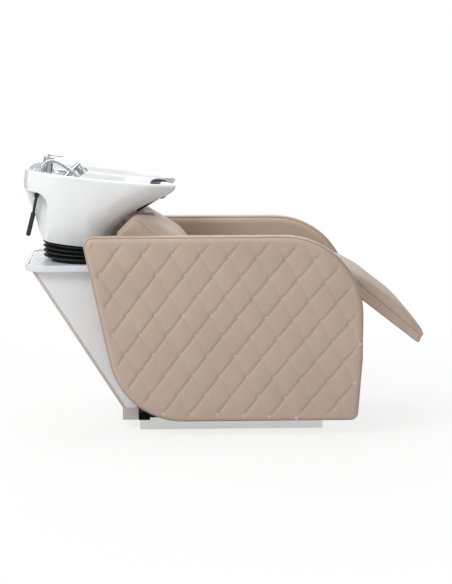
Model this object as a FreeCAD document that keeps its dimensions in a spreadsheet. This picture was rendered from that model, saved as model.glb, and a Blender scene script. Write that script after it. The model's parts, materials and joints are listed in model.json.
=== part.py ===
"""Backwash unit: a reclining wash chair with a tilting ceramic basin on a slanted column.

Millimetres. +X runs towards the leg rest, +Y across the chair, +Z up.
The origin is the centre of the base board's underside, on the floor.
"""
import FreeCAD, Part
import math
import os
import re
import Sketcher
from FreeCAD import Placement, Rotation, Vector

os.makedirs("parts", exist_ok=True)
doc = FreeCAD.newDocument("BackwashUnit")

# Driving dimensions, in millimetres, degrees or counts
SIZES = [
    ("base_length", 707, "floor plinth along X"),
    ("base_width", 420, "floor plinth along Y"),
    ("base_height", 47, "top of the base board"),
    ("skirt_thickness", 2, "silver strip round the base board"),
    ("skirt_lift", 1, "gap from the floor to the strip"),
    ("rail_width", 44, "cross rail along X"),
    ("rail_height", 36, "height of all floor rails"),
    ("rail_overhang", 5, "rear cross rail behind the base"),
    ("rail_inset", 40, "front cross rail from the front of the base"),
    ("side_rail_width", 36, "side rail along Y"),
    ("side_rail_spread", 260, "between the centres of the side rails"),
    ("tail_gap", 3, "tails of the side rails to the rear of the plinth"),
    ("frame_tube", 30, "square tube of the chair frame"),
    ("tube_wall", 2, "wall of all tubes"),
    ("stay_height", 590, "stays from the rear legs to the back"),
    ("arm_gap", 500, "clear width between the arms"),
    ("arm_top", 767, "crown of the arm border"),
    ("arm_bottom", 52, "underside of the arms"),
    ("arm_rear_x", -570, "rear top corner of the arm outline"),
    ("arm_rear_lean", 12, "rear edge from upright"),
    ("arm_front_x", 497, "front edge of the arm outline"),
    ("arm_front_toe", 17, "set-back of the lower front corner"),
    ("arm_front_bend", 290, "height where the front edge turns upright"),
    ("arm_shoulder_radius", 38, "rear top corner"),
    ("arm_heel_radius", 290, "rear lower corner"),
    ("arm_toe_radius", 30, "front lower corner"),
    ("arm_bend_radius", 400, "bend in the front edge"),
    ("arm_nose_radius", 306, "front top corner"),
    ("arm_pad", 22, "quilted outer pad"),
    ("arm_core", 45, "panel core"),
    ("arm_lining", 18, "inner pad"),
    ("arm_border", 14, "border band round the core"),
    ("arm_edge", 12, "pads inside the crown of the border"),
    ("arm_pad_round", 9, "rounding of the pad edges"),
    ("arm_bolt_radius", 5, "bolts through the frame into the arm"),
    ("arm_bolt_grip", 30, "bolt length in the core"),
    ("arm_bolt_head", 5, "bolt head"),
    ("rear_bolt_height", 240, "bolts through the rear legs"),
    ("front_bolt_height", 300, "bolts through the front legs"),
    ("bolt_pitch", 90, "between the two bolts of a leg"),
    ("quilt_width", 107, "diamond along X"),
    ("quilt_height", 154, "diamond along Z"),
    ("quilt_groove", 11, "width of a quilting groove"),
    ("quilt_depth", 6, "depth of a quilting groove"),
    ("quilt_x", -12, "one crossing of the quilting, along X"),
    ("quilt_z", 700, "the same crossing, along Z"),
    ("seat_front_x", 359, "front of the seat cushion"),
    ("seat_front_z", 650, "top of the seat at the knee"),
    ("seat_slope", 17.3, "seat falls to the rear"),
    ("seat_thickness", 110, "seat cushion"),
    ("seat_side_gap", 6, "seat and back to the arms"),
    ("cushion_draw", 14, "sides of the cushions drawn in"),
    ("cushion_edge", 13.5, "rounding of the cushions' plain edges"),
    ("knee_radius", 42, "front edge of the seat, under the knees"),
    ("head_radius", 46, "top edge of the back cushion"),
    ("back_bend_radius", 150, "bend in the front of the back cushion"),
    ("back_hollow_radius", 60, "bend in the rear of the back cushion"),
    ("deck_thickness", 15, "plywood under the seat and behind the back"),
    ("back_bend_x", -186, "bend in the front of the back cushion"),
    ("back_bend_z", 752, "the same bend, height"),
    ("back_lean", 37.7, "lower back from upright"),
    ("head_lean", 59, "upper back from upright"),
    ("head_length", 204, "upper back along its slope"),
    ("back_thickness", 104, "back cushion"),
    ("cushion_gap", 3, "seat cushion to back cushion"),
    ("saddle_radius", 600, "hollow of the back cushion under the basin"),
    ("saddle_gap", 24, "least space under the basin"),
]

SIZES += [
    ("leg_length", 430, "leg rest along its slope"),
    ("leg_width", 480, "leg rest along Y"),
    ("leg_thickness", 60, "leg rest at its sides, with the board"),
    ("leg_crown", 18, "crown above the sides"),
    ("leg_slope", 37.9, "leg rest below level at rest"),
    ("leg_pivot_z", 603, "height of the leg rest hinge"),
    ("leg_gap", 3, "hinge eyes to the seat cushion"),
    ("leg_board", 12, "board under the leg rest"),
    ("leg_pivot_back", 12, "hinge behind the upper end"),
    ("strap_length", 165, "hinge strap from the hinge along the board"),
    ("strap_width", 28, "hinge strap along Y"),
    ("strap_thickness", 5, "hinge strap"),
    ("strap_spread", 330, "between the hinge straps"),
    ("hinge_eye", 11, "outer radius of the hinge eyes"),
    ("hinge_pin_radius", 5, "leg rest hinge pins"),
    ("hinge_plate", 6, "fixed hinge plates"),
    ("running_clearance", 0.05, "pins in their holes"),
    ("side_play", 0.4, "between faces that slide past each other"),
    ("column_width", 390, "over the side panels"),
    ("column_panel", 18, "side panel board"),
    ("column_front_x", -364, "front edge of the column"),
    ("column_top_x", -768, "rear face of the column under the tray"),
    ("column_foot_x", -420, "rear face of the column above the plinth"),
    ("column_foot_z", 83, "top of the plinth"),
    ("rear_panel", 12, "slanted rear board"),
    ("plinth_bottom", 35, "plinth above the floor"),
    ("post_tube", 30, "square tube of the column frame"),
    ("tray_rear_x", -787, "rear of the tray"),
    ("tray_front_x", -356, "front of the tray"),
    ("tray_width", 454, "tray along Y"),
    ("tray_top", 645, "lip of the tray"),
    ("tray_depth", 25, "skirt of the tray"),
    ("tray_wall", 5, "tray shell"),
    ("tray_lip", 12, "width of the lip"),
    ("tray_lip_height", 8, "lip above the tray floor"),
    ("tray_corner", 70, "rear corner radius in plan"),
    ("tray_front_corner", 30, "front corner radius in plan"),
    ("tray_hole", 108, "radius of the opening under the bellows"),
    ("pivot_x", -560, "tilt pin"),
    ("pivot_z", 690, "tilt pin, height"),
    ("rest_tilt", 6.4, "basin tilted forward at rest"),
    ("tilt_pin_radius", 8, "tilt pin"),
    ("tilt_ear", 8, "ears of bracket and yoke"),
    ("tilt_eye", 17, "radius of the ears round the pin"),
    ("tilt_plate", 6, "plates of bracket and yoke"),
    ("yoke_width", 120, "over the yoke's ears"),
    ("yoke_length", 80, "yoke plate along X"),
    ("bellows_collar", 134, "radius of the lower collar"),
    ("bellows_fold", 166, "radius of the lowest fold"),
    ("bellows_high_fold", 138, "radius of the highest fold"),
    ("bellows_pleat", 26, "depth of the folds"),
    ("bellows_wall", 8, "rubber, measured along the radius"),
    ("bellows_folds", 4, "number of folds"),
    ("bellows_collar_height", 10, "lower collar above the tray floor"),
    ("bellows_top", 122, "radius of the upper collar"),
    ("bellows_shift", 32, "upper collar behind the tilt pin"),
]

# The basin stands in its own level frame, with its origin on the tilt pin
SIZES += [
    ("rim_height", 289, "rim above the tilt pin"),
    ("foot_height", 12, "underside of the basin above the tilt pin"),
    ("basin_rear", 261, "rear apron behind the tilt pin"),
    ("basin_front", 322, "horns in front of the tilt pin"),
    ("basin_width", 488, "basin at its widest"),
    ("apron_height", 76, "apron round the rear"),
    ("horn_depth", 24, "blunt front edge of the horns"),
    ("spine_width", 172, "narrow spine under the apron"),
    ("recess_radius", 48, "turn of the recess from the apron down to the foot"),
    ("foot_rear", 164, "foot behind the tilt pin"),
    ("foot_front", 100, "foot in front of the tilt pin"),
    ("foot_width", 280, "foot along Y"),
    ("front_slope_x", 100, "a point of the sloping front before the tilt pin"),
    ("front_slope_low", 108, "the same point above the tilt pin"),
    ("front_slope", 37, "sloping front above level"),
    ("skirt_wall", 10, "outer wall round the hollow under the bowl"),
    ("foot_wall", 14, "foot of that wall"),
    ("rim_wall", 17, "rim"),
    ("bowl_wall", 24, "bowl along X and Y"),
    ("bowl_floor", 78, "bowl floor above the tilt pin"),
    ("bowl_shell", 9, "ceramic round the bowl"),
    ("bowl_base", 15, "ceramic under the bowl floor"),
    ("deck_drop", 27, "tap deck below the rim"),
    ("deck_front", 146, "front of the tap deck behind the tilt pin"),
    ("tap_deck", 16, "thickness of the tap deck"),
    ("notch_radius", 148, "neck notch in plan"),
    ("notch_reach", 64, "depth of the notch from the horns"),
    ("lip_wall", 27, "wall of the neck lip"),
    ("lip_drop", 37, "neck lip below the rim"),
    ("lip_angle", 66, "sweep of the neck lip"),
    ("neck_thickness", 10, "gel neck rest"),
    ("neck_crown", 30, "gel above the lip"),
    ("neck_inner_flap", 34, "gel down the bowl side"),
    ("neck_outer_flap", 34, "gel down the front"),
    ("neck_dip", 75, "radius of the hollow for the neck"),
    ("neck_under_flap", 100, "gel along the sloping front"),
    ("neck_under_width", 120, "the same along Y"),
    ("neck_gap", 0.3, "gel to ceramic"),
    ("waste_x", 72, "waste behind the tilt pin"),
    ("waste_radius", 20, "waste tube outside"),
    ("waste_wall", 3, "waste tube"),
    ("waste_flange", 33, "flange in the bowl"),
    ("waste_drop", 26, "waste tube below the tilt pin"),
    ("mixer_x", 177, "mixer behind the tilt pin"),
    ("mixer_radius", 20, "mixer body"),
    ("mixer_height", 56, "mixer body above the deck"),
    ("mixer_shank", 12, "threaded shank radius"),
    ("mixer_shank_length", 54, "shank below the deck surface"),
    ("mixer_inlet", 4, "inlet bores"),
    ("mixer_inlet_depth", 20, "depth of the inlet bores"),
    ("cap_height", 12, "turning cap"),
    ("cap_spigot", 11, "spigot that the cap turns on"),
    ("handle_reach", 54, "lift handle from the mixer's axis"),
    ("handle_width", 13, "lift handle"),
    ("handle_thickness", 5, "lift handle, and the radius of its hub"),
    ("handle_hub", 9, "hub of the lift handle along Y"),
    ("handle_hinge", 4, "ears of the turning cap"),
    ("hose_diameter", 13, "shower hose"),
    ("hose_bend", 40, "bend radius of the hose"),
    ("hose_crest", 58, "top of the hose above the deck"),
    ("hose_top", 73, "level run of the hose over the deck"),
    ("hose_fall", 85, "fall of the hose into the bowl"),
    ("hose_lift", 47, "lowest corner of the hose above the bowl floor"),
    ("bush_x", 201, "deck bush of the hose behind the tilt pin"),
    ("bush_y", 50, "deck bush beside the middle"),
    ("bush_radius", 12, "deck bush"),
    ("bush_height", 9, "deck bush above the deck"),
    ("handset_lean", 43, "handset from upright"),
    ("handset_x", 110, "foot of the handset behind the tilt pin"),
    ("handset_y", 30, "handset beside the middle"),
    ("handset_z", 254, "foot of the handset above the tilt pin"),
    ("handset_length", 72, "handle of the handset"),
    ("handset_nod", 50, "spray head below level"),
    ("hose_nut_length", 14, "nut between hose and handset"),
    ("handset_foot_radius", 9.5, "lower end of the handle"),
    ("handset_neck_radius", 12, "upper end of the handle"),
    ("handset_head_radius", 20, "spray head"),
    ("handset_head_length", 38, "spray head"),
    ("holder_ring", 3, "wall of the holder's ring"),
    ("holder_height", 13, "holder's ring along the handle"),
    ("holder_rise", 20, "holder's ring above the foot of the handset"),
    ("holder_post_x", 160, "holder's post behind the tilt pin"),
    ("holder_post_y", 66, "holder's post beside the middle"),
    ("holder_post", 6, "radius of the post"),
    ("lever_x", 205, "lever pivot behind the tilt pin"),
    ("lever_z", 187, "lever pivot above the tilt pin"),
    ("lever_rod", 12, "lever rod"),
    ("lever_rod_length", 72, "rod down to the grip"),
    ("lever_grip_length", 80, "grip"),
    ("lever_grip_radius", 9, "grip"),
    ("lever_lean", 5, "rod from upright"),
    ("lever_kick", 3, "grip bent rearwards from the rod"),
    ("lever_stand_off", 16, "lever from the spine's flank"),
    ("lever_pin_radius", 4, "lever pin"),
]

# The spreadsheet keeps each size as plain text under its alias
sheet = doc.addObject("Spreadsheet::Sheet", "Sizes")
for row, (alias, number, meaning) in enumerate(SIZES, start=1):
    sheet.set(f"A{row}", meaning)
    sheet.set(f"B{row}", str(number))
    sheet.setAlias(f"B{row}", alias)
doc.recompute()


def size(alias):
    """One driving dimension, read from the spreadsheet."""
    return float(sheet.get(alias))


ALIASES = {alias for alias, number, meaning in SIZES}
PARTS = []


def bound(text):
    """An expression in which every alias points at its cell."""
    return re.sub(r"[a-z_]+", lambda word: "Sizes." * (word.group() in ALIASES) + word.group(), text)


def number(text):
    """The present value of an expression written in aliases."""
    return float(sheet.evalExpression(bound(text)))


def bind(item, **expressions):
    """Tie properties of a document object to the sheet; x, y and z set its place."""
    for name, text in expressions.items():
        target = f"Placement.Base.{name}" if name in ("x", "y", "z") else name
        item.setExpression(target, bound(str(text)))
    return item


def keep(item, label):
    """Name a sub-part and list it for export."""
    item.Label = label
    PARTS.append(item)
    return item


def feature(label, shape, place=None):
    """A sub-part whose shape is worked out here from the sheet."""
    item = doc.addObject("Part::Feature", label)
    item.Shape = shape
    item.Placement = place or Placement()
    return keep(item, label)


def block(name, length, width, height, x, y, z):
    """A bound box; y is its middle, x and z its low corner."""
    item = doc.addObject("Part::Box", name)
    return bind(item, Length=length, Width=width, Height=height, x=x, y=f"( {y} ) - ( {width} ) / 2", z=z)


def joined(name, tool, *items):
    """A boolean of bound objects: Part::MultiFuse, or Part::Compound for separate like pieces."""
    item = doc.addObject(tool, name)
    if tool == "Part::Compound":
        item.Links = list(items)
    else:
        item.Shapes = list(items)
    return item


def cut(name, base, tool):
    """A bound object with another taken out of it."""
    item = doc.addObject("Part::Cut", name)
    item.Base = base
    item.Tool = tool
    return item


def sketch(body, name, role, corners):
    """A closed sketch of straight lines, each corner tied to the sheet from the origin."""
    item = body.newObject("Sketcher::SketchObject", name)
    plane = next(entry for entry in body.Origin.OriginFeatures if entry.Role == role)
    item.AttachmentSupport = [(plane, "")]
    item.MapMode = "FlatFace"
    points = [Vector(number(u), number(v), 0) for u, v in corners]
    count = len(points)
    for index, point in enumerate(points):
        item.addGeometry(Part.LineSegment(point, points[(index + 1) % count]), False)
    for index in range(count):
        item.addConstraint(Sketcher.Constraint("Coincident", index, 2, (index + 1) % count, 1))
    for index, (u, v) in enumerate(corners):
        for kind, text, value in (("DistanceX", u, points[index].x), ("DistanceY", v, points[index].y)):
            place = item.addConstraint(Sketcher.Constraint(kind, -1, 1, index, 1, value))
            item.setExpression(f"Constraints[{place}]", bound(text))
    return item


def plate(label, corners, thickness, middle, role="XZ_Plane"):
    """A flat board: an outline padded evenly to both sides of its middle plane."""
    body = doc.addObject("PartDesign::Body", label)
    pad = body.newObject("PartDesign::Pad", label + "_pad")
    pad.Profile = sketch(body, label + "_outline", role, corners)
    pad.Midplane = True
    pad.setExpression("Length", bound(thickness))
    axis = "y" if role == "XZ_Plane" else "z"
    bind(body, **{axis: middle})
    return body


def rounded(corners, at):
    """A closed wire of straight runs and tangent arcs; corners are (u, v, radius), at maps them to 3D."""
    count = len(corners)
    points = [Vector(u, v, 0) for u, v, radius in corners]
    joints = []
    for index, (u, v, radius) in enumerate(corners):
        here = points[index]
        back = points[index - 1] - here
        ahead = points[(index + 1) % count] - here
        half = back.getAngle(ahead) / 2
        reach = min(radius / math.tan(half), 0.49 * min(back.Length, ahead.Length))
        middle = (back.normalize() + ahead.normalize()).normalize()
        bow = reach * math.tan(half)
        crest = here + middle * (bow / math.sin(half) - bow)
        joints.append((here + back * reach, crest, here + ahead * reach))
    edges = []
    for index, (start, crest, end) in enumerate(joints):
        edges.append(Part.Arc(at(start), at(crest), at(end)).toShape())
        following = joints[(index + 1) % count][0]
        edges.append(Part.LineSegment(at(end), at(following)).toShape())
    return Part.Wire(edges)


def inset(corners, depth):
    """The same outline drawn in by depth, with its radii kept round the same centres."""
    count = len(corners)
    points = [Vector(u, v, 0) for u, v, radius in corners]
    area = sum(points[i - 1].x * points[i].y - points[i].x * points[i - 1].y for i in range(count))
    side = 1 if area > 0 else -1
    moved = []
    for index, (u, v, radius) in enumerate(corners):
        before = (points[index] - points[index - 1]).normalize()
        after = (points[(index + 1) % count] - points[index]).normalize()
        inward = Vector(-before.y, before.x, 0) * side
        turn = before.cross(after).z * side
        along = math.tan(math.atan2(turn, before.dot(after)) / 2)
        point = points[index] + (inward - before * along) * depth
        moved.append((point.x, point.y, max(radius - math.copysign(depth, turn), 1.0)))
    return moved


def on_side(y):
    """Maps outline points to the plane of constant Y."""
    return lambda point: Vector(point.x, y, point.y)


def on_level(z):
    """Maps outline points to the plane of constant Z."""
    return lambda point: Vector(point.x, point.y, z)


def slab(corners, low, high):
    """An outline in XZ carried from one Y to another."""
    return Part.Face(rounded(corners, on_side(low))).extrude(Vector(0, high - low, 0))


def drawn(corners, depth, base):
    """The outline drawn in by depth from its far side, still on its base; base is the way up from it."""
    shrunk = inset(corners, depth / 2)
    return [(u - base[0] * depth / 2, v - base[1] * depth / 2, radius) for u, v, radius in shrunk]


# Places across half a cushion, and how much of the draw each one has
CROWN = [(1, 1), (0.93, 0.42), (0.7, 0.1)]


def crowned(corners, half_width, draw, base):
    """A cushion: full in the middle, drawn down towards its two sides, flat on its base."""
    near = [(-place, share) for place, share in CROWN]
    wires = [rounded(drawn(corners, share * draw, base), on_side(place * half_width))
             for place, share in near + [(0, 0)] + CROWN[::-1]]
    return Part.makeLoft(wires, True)


def bar(start, end, tube, middle):
    """A square tube's outer form between two points (x, z), centred on one Y."""
    line = Vector(end[0] - start[0], 0, end[1] - start[1])
    across = Vector(-line.z, 0, line.x).normalize() * (tube / 2)
    low = Vector(start[0], middle - tube / 2, start[1])
    corners = [low - across, low + across, low + across + line, low - across + line]
    return Part.Face(Part.makePolygon(corners + corners[:1])).extrude(Vector(0, tube, 0))


def rod(start, end, radius):
    """A round bar between two points."""
    return Part.makeCylinder(radius, (end - start).Length, start, end - start)


def mirrored(shape):
    """The same solid on the other side of the chair."""
    return shape.mirror(Vector(0, 0, 0), Vector(0, 1, 0))


def pair(shape):
    """Two like pieces, one each side of the chair."""
    return Part.makeCompound([shape, mirrored(shape)])


# Base board and floor rails
def base():
    """Plywood board in a silver strip, with hollow steel rails on top."""
    x, y = "base_length / 2 - skirt_thickness", "base_width / 2 - skirt_thickness"
    left, near = f"- ( {x} )", f"- ( {y} )"
    board = plate("base_board", [(left, near), (x, near), (x, y), (left, y)],
                  "base_height", "base_height / 2", "XY_Plane")
    keep(board, "base_board")
    high = "base_height - skirt_lift"
    outer = block("skirt_outer", "base_length", "base_width", high, "- base_length / 2", "0", "skirt_lift")
    inner = block("skirt_inner", "base_length - 2 * skirt_thickness", "base_width - 2 * skirt_thickness",
                  "base_height", "- base_length / 2 + skirt_thickness", "0", "0")
    keep(cut("skirt", outer, inner), "base_skirt")


def cross_rail(label, x):
    """A hollow rail across the base, as long as the space between the arms."""
    outer = block(label + "_outer", "rail_width", "arm_gap", "rail_height", x, "0", "base_height")
    inner = block(label + "_inner", "rail_width - 2 * tube_wall", "arm_gap + 2 * tube_wall",
                  "rail_height - 2 * tube_wall", f"{x} + tube_wall", "0", "base_height + tube_wall")
    keep(cut(label + "_tube", outer, inner), label)


def side_rail(name, x, length, y):
    """A hollow rail along the base."""
    outer = block(name + "_outer", length, "side_rail_width", "rail_height", x, y, "base_height")
    inner = block(name + "_inner", f"{length} + 2 * tube_wall", "side_rail_width - 2 * tube_wall",
                  "rail_height - 2 * tube_wall", f"{x} - tube_wall", y, "base_height + tube_wall")
    return cut(name, outer, inner)


REAR_RAIL = "- base_length / 2 - rail_overhang"
FRONT_RAIL = "base_length / 2 - rail_inset - rail_width"


def rails():
    """Two cross rails, joined by side rails whose tails carry the column."""
    cross_rail("rear_cross_rail", REAR_RAIL)
    cross_rail("front_cross_rail", FRONT_RAIL)
    pieces = []
    for name, y in (("near", "- side_rail_spread / 2"), ("far", "side_rail_spread / 2")):
        start = f"{REAR_RAIL} + rail_width"
        pieces.append(side_rail(f"side_rail_{name}", start, f"{FRONT_RAIL} - ( {start} )", y))
        tail = "column_foot_x + column_panel + tail_gap"
        pieces.append(side_rail(f"tail_rail_{name}", tail, f"{REAR_RAIL} - ( {tail} )", y))
    keep(joined("side_rail_set", "Part::Compound", *pieces), "side_rails")


# Chair frame
def deck_line(x):
    """Height of the seat deck's upper face."""
    fall = math.tan(math.radians(size("seat_slope")))
    return number("seat_front_z - seat_thickness") - fall * (size("seat_front_x") - x)


def back_line(depth):
    """Bend point and foot of the back's front face, moved rearwards by depth."""
    lean, head = math.radians(size("back_lean")), math.radians(size("head_lean"))
    bend = Vector(size("back_bend_x"), 0, size("back_bend_z"))
    shift = Vector(-math.cos(lean), 0, -math.sin(lean)) * depth
    miter = depth * math.tan((head - lean) / 2)
    down = Vector(math.sin(lean), 0, -math.cos(lean))
    knee = bend + shift + down * miter
    fall = math.tan(math.radians(size("seat_slope")))
    drop = (knee.z - deck_line(knee.x)) / (math.cos(lean) + fall * math.sin(lean))
    return knee, knee + down * drop


def rail_line(x):
    """Height of the seat rails' upper face, under the deck board."""
    return deck_line(x) - size("deck_thickness") / math.cos(math.radians(size("seat_slope")))


def through_deck():
    """From the deck's upper face to its lower face, along the lean of the back."""
    lean, slope = math.radians(size("back_lean")), math.radians(size("seat_slope"))
    return Vector(math.sin(lean), 0, -math.cos(lean)) * (size("deck_thickness") / math.cos(lean - slope))


def bar_place(x):
    """A seat crossbar's frame, sloping with the seat: origin on its rear upper edge."""
    return Placement(Vector(x, 0, rail_line(x)), Rotation(Vector(0, 1, 0), -size("seat_slope")))


def frame_tube(outline, y):
    """A hollow square tube with its end faces cut to an outline: two start and two end corners (x, z)."""
    tube, wall = size("frame_tube"), size("tube_wall")
    points = [Vector(x, y - tube / 2, z) for x, z in outline]
    shell = Part.Face(Part.makePolygon(points + points[:1])).extrude(Vector(0, tube, 0))
    start, end = (points[0] + points[1]) / 2, (points[2] + points[3]) / 2
    over = (end - start) * 0.2
    start, end = start - over, end + over
    return shell.cut(bar((start.x, start.z), (end.x, end.z), tube - 2 * wall, y))


def chair_frame():
    """Legs on the cross rails, sloping seat rails, and uprights behind the back."""
    tube, y = size("frame_tube"), number("arm_gap / 2 - frame_tube / 2")
    slope, lean = math.radians(size("seat_slope")), math.radians(size("back_lean"))
    floor = number("base_height + rail_height")
    rear, front = number(f"{REAR_RAIL} + rail_width / 2"), number(f"{FRONT_RAIL} + rail_width / 2")
    depth = tube / math.cos(slope)
    start, end = rear + tube / 2, number("seat_front_x - deck_thickness")
    rail = [(start, rail_line(start)), (start, rail_line(start) - depth),
            (end, rail_line(end) - depth), (end, rail_line(end))]
    feature("seat_rails", pair(frame_tube(rail, y)))

    left, right = front - tube / 2, front + tube / 2
    leg = [(left, floor), (right, floor), (right, rail_line(right) - depth), (left, rail_line(left) - depth)]
    drill = leg_drill(front, "front_bolt_height")
    feature("front_legs", pair(frame_tube(leg, y).cut(drill)))

    left, right, top = rear - tube / 2, rear + tube / 2, size("stay_height") + tube / 2
    leg = [(left, floor), (right, floor), (right, top), (left, top)]
    drill = leg_drill(rear, "rear_bolt_height")
    feature("rear_legs", pair(frame_tube(leg, y).cut(drill)))

    board = number("back_thickness + deck_thickness")
    short = Vector(math.sin(lean), 0, -math.cos(lean)) * (2 * tube)
    corners = []
    for layer in (board, board + tube):
        knee, foot = back_line(layer)
        corners.append((knee + short, foot + through_deck()))
    (knee, foot), (outer_knee, outer_foot) = corners
    upright = [(corner.x, corner.z) for corner in (foot, outer_foot, outer_knee, knee)]
    feature("back_uprights", pair(frame_tube(upright, y)))

    middle = size("stay_height")
    low, high = middle - tube / 2, middle + tube / 2
    slant = math.tan(lean)
    stay = [(right, low), (right, high), (outer_knee.x - (high - outer_knee.z) * slant, high),
            (outer_knee.x - (low - outer_knee.z) * slant, low)]
    feature("back_stays", pair(frame_tube(stay, y)))

    width, wall = number("arm_gap - 2 * frame_tube"), size("tube_wall")
    for label, x in (("seat_front_bar", end - tube), ("seat_rear_bar", foot.x)):
        beam = Part.makeBox(tube, width, tube, Vector(0, -width / 2, -tube))
        bore = Part.makeBox(tube - 2 * wall, 2 * width, tube - 2 * wall, Vector(wall, -width, wall - tube))
        feature(label, beam.cut(bore), bar_place(x))


def bolt_places(height):
    """Heights of the two arm bolts in one leg."""
    middle, pitch = size(height), size("bolt_pitch")
    return [middle - pitch / 2, middle + pitch / 2]


def leg_drill(x, height):
    """Holes for the arm bolts through one leg."""
    radius = number("arm_bolt_radius + running_clearance")
    y = number("arm_gap / 2 - 2 * frame_tube")
    return [Part.makeCylinder(radius, number("4 * frame_tube"), Vector(x, y, z), Vector(0, 1, 0))
            for z in bolt_places(height)]


# Seat and back
def seat():
    """Deck board on the rails, and a crowned cushion that slopes down to the back."""
    half = number("arm_gap / 2 - seat_side_gap")
    front = size("seat_front_x")
    edge = back_line(number("back_thickness + deck_thickness"))[1]
    under = edge + through_deck()
    deck = [(edge.x, edge.z, 1.0), (under.x, under.z, 1.0), (front, rail_line(front), 1.0),
            (front, deck_line(front), 1.0)]
    feature("seat_deck", slab(deck, -half, half))

    lean = math.radians(size("back_lean"))
    thickness = size("seat_thickness")
    foot = back_line(-size("cushion_gap"))[1]
    climb = thickness / (1 + math.tan(math.radians(size("seat_slope"))) * math.tan(lean))
    rear = (foot.x - climb * math.tan(lean), foot.z + climb)
    edge = size("cushion_edge")
    corners = [(foot.x, foot.z, 0.9 * edge), (front, deck_line(front), 1.2 * edge),
               (front, size("seat_front_z"), size("knee_radius")), (rear[0], rear[1], 1.5 * edge)]
    slope = math.radians(size("seat_slope"))
    up = (-math.sin(slope), math.cos(slope))
    feature("seat_cushion", crowned(corners, half, size("cushion_draw"), up))


def back():
    """Bent board and a thick cushion, hollowed under the basin."""
    half = number("arm_gap / 2 - seat_side_gap")
    head = math.radians(size("head_lean"))
    thickness, board = size("back_thickness"), size("deck_thickness")
    rise = Vector(-math.sin(head), 0, math.cos(head)) * size("head_length")
    bend, foot = back_line(0)
    rear_bend, rear_foot = back_line(thickness)
    top, rear_top = bend + rise, rear_bend + rise
    edge, crown, hollow = size("cushion_edge"), size("head_radius"), size("back_hollow_radius")
    corners = [(foot.x, foot.z, edge), (bend.x, bend.z, size("back_bend_radius")), (top.x, top.z, crown),
               (rear_top.x, rear_top.z, 0.87 * crown), (rear_bend.x, rear_bend.z, hollow),
               (rear_foot.x, rear_foot.z, 0.45 * edge)]
    lean = math.radians(size("back_lean"))
    cushion = crowned(corners, half, 2 * size("cushion_draw"), (math.cos(lean), math.sin(lean)))
    feature("back_cushion", cushion.cut(saddle()))

    behind, behind_foot = back_line(thickness + board)
    short = rise * 0.55
    outline = [(rear_foot.x, rear_foot.z, 1.0), (behind_foot.x, behind_foot.z, 1.0),
               (behind.x, behind.z, hollow + board), (behind.x + short.x, behind.z + short.z, 1.0),
               (rear_bend.x + short.x, rear_bend.z + short.z, 1.0), (rear_bend.x, rear_bend.z, hollow)]
    feature("back_board", slab(outline, -half, half))


def saddle():
    """Round hollow that keeps the back cushion clear of the basin's sloping front."""
    place = basin_place()
    slope = math.radians(size("front_slope"))
    start = place.multVec(Vector(size("front_slope_x"), 0, size("front_slope_low")))
    line = place.Rotation.multVec(Vector(math.cos(slope), 0, math.sin(slope)))
    across = Vector(-line.z, 0, line.x)
    centre = start + across * number("saddle_radius - saddle_gap")
    reach = number("basin_rear + basin_front")
    return Part.makeCylinder(size("saddle_radius"), 2 * reach, centre - line * reach, line)


def basin_place():
    """Where the basin's level frame lies: on the tilt pin, tipped forward."""
    pin = Vector(size("pivot_x"), 0, size("pivot_z"))
    return Placement(pin, Rotation(Vector(0, 1, 0), size("rest_tilt")))


# Arms
def arm_outline():
    """Corners (x, z, radius) of the arm seen from the side."""
    lean = math.tan(math.radians(size("arm_rear_lean")))
    heel = size("arm_rear_x") + lean * number("arm_top - arm_bottom")
    front = size("arm_front_x")
    return [(size("arm_rear_x"), size("arm_top"), size("arm_shoulder_radius")),
            (heel, size("arm_bottom"), size("arm_heel_radius")),
            (front - size("arm_front_toe"), size("arm_bottom"), size("arm_toe_radius")),
            (front, size("arm_front_bend"), size("arm_bend_radius")),
            (front, size("arm_top"), size("arm_nose_radius"))]


def edges_at(shape, y):
    """Edges of a solid that lie in the plane of one Y."""
    return [edge for edge in shape.Edges
            if all(abs(vertex.Point.y - y) < 1e-6 for vertex in edge.Vertexes)
            and abs(edge.BoundBox.YLength) < 1e-4]


def quilting(face_y):
    """Straight grooves in two directions that leave diamonds between them."""
    width, height = size("quilt_width"), size("quilt_height")
    groove, depth = size("quilt_groove"), size("quilt_depth")
    outline = arm_outline()
    left, right = min(c[0] for c in outline), max(c[0] for c in outline)
    reach = number("arm_top - arm_bottom") * width / height
    first = math.floor((left - reach - size("quilt_x")) / width)
    last = math.ceil((right + reach - size("quilt_x")) / width)
    tools = []
    for way in (1, -1):
        along = Vector(way * width, 0, height).normalize()
        across = Vector(along.z, 0, -along.x) * groove
        length = along * (2 * number("arm_top - arm_bottom"))
        for index in range(first, last + 1):
            middle = Vector(size("quilt_x") + index * width, face_y + depth, size("quilt_z"))
            tip = middle - Vector(0, 2 * depth, 0)
            wedge = Part.makePolygon([middle - across, middle + across, tip, middle - across])
            wedge.translate(length * -0.5)
            tools.append(Part.Face(wedge).extrude(length))
    return tools


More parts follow.
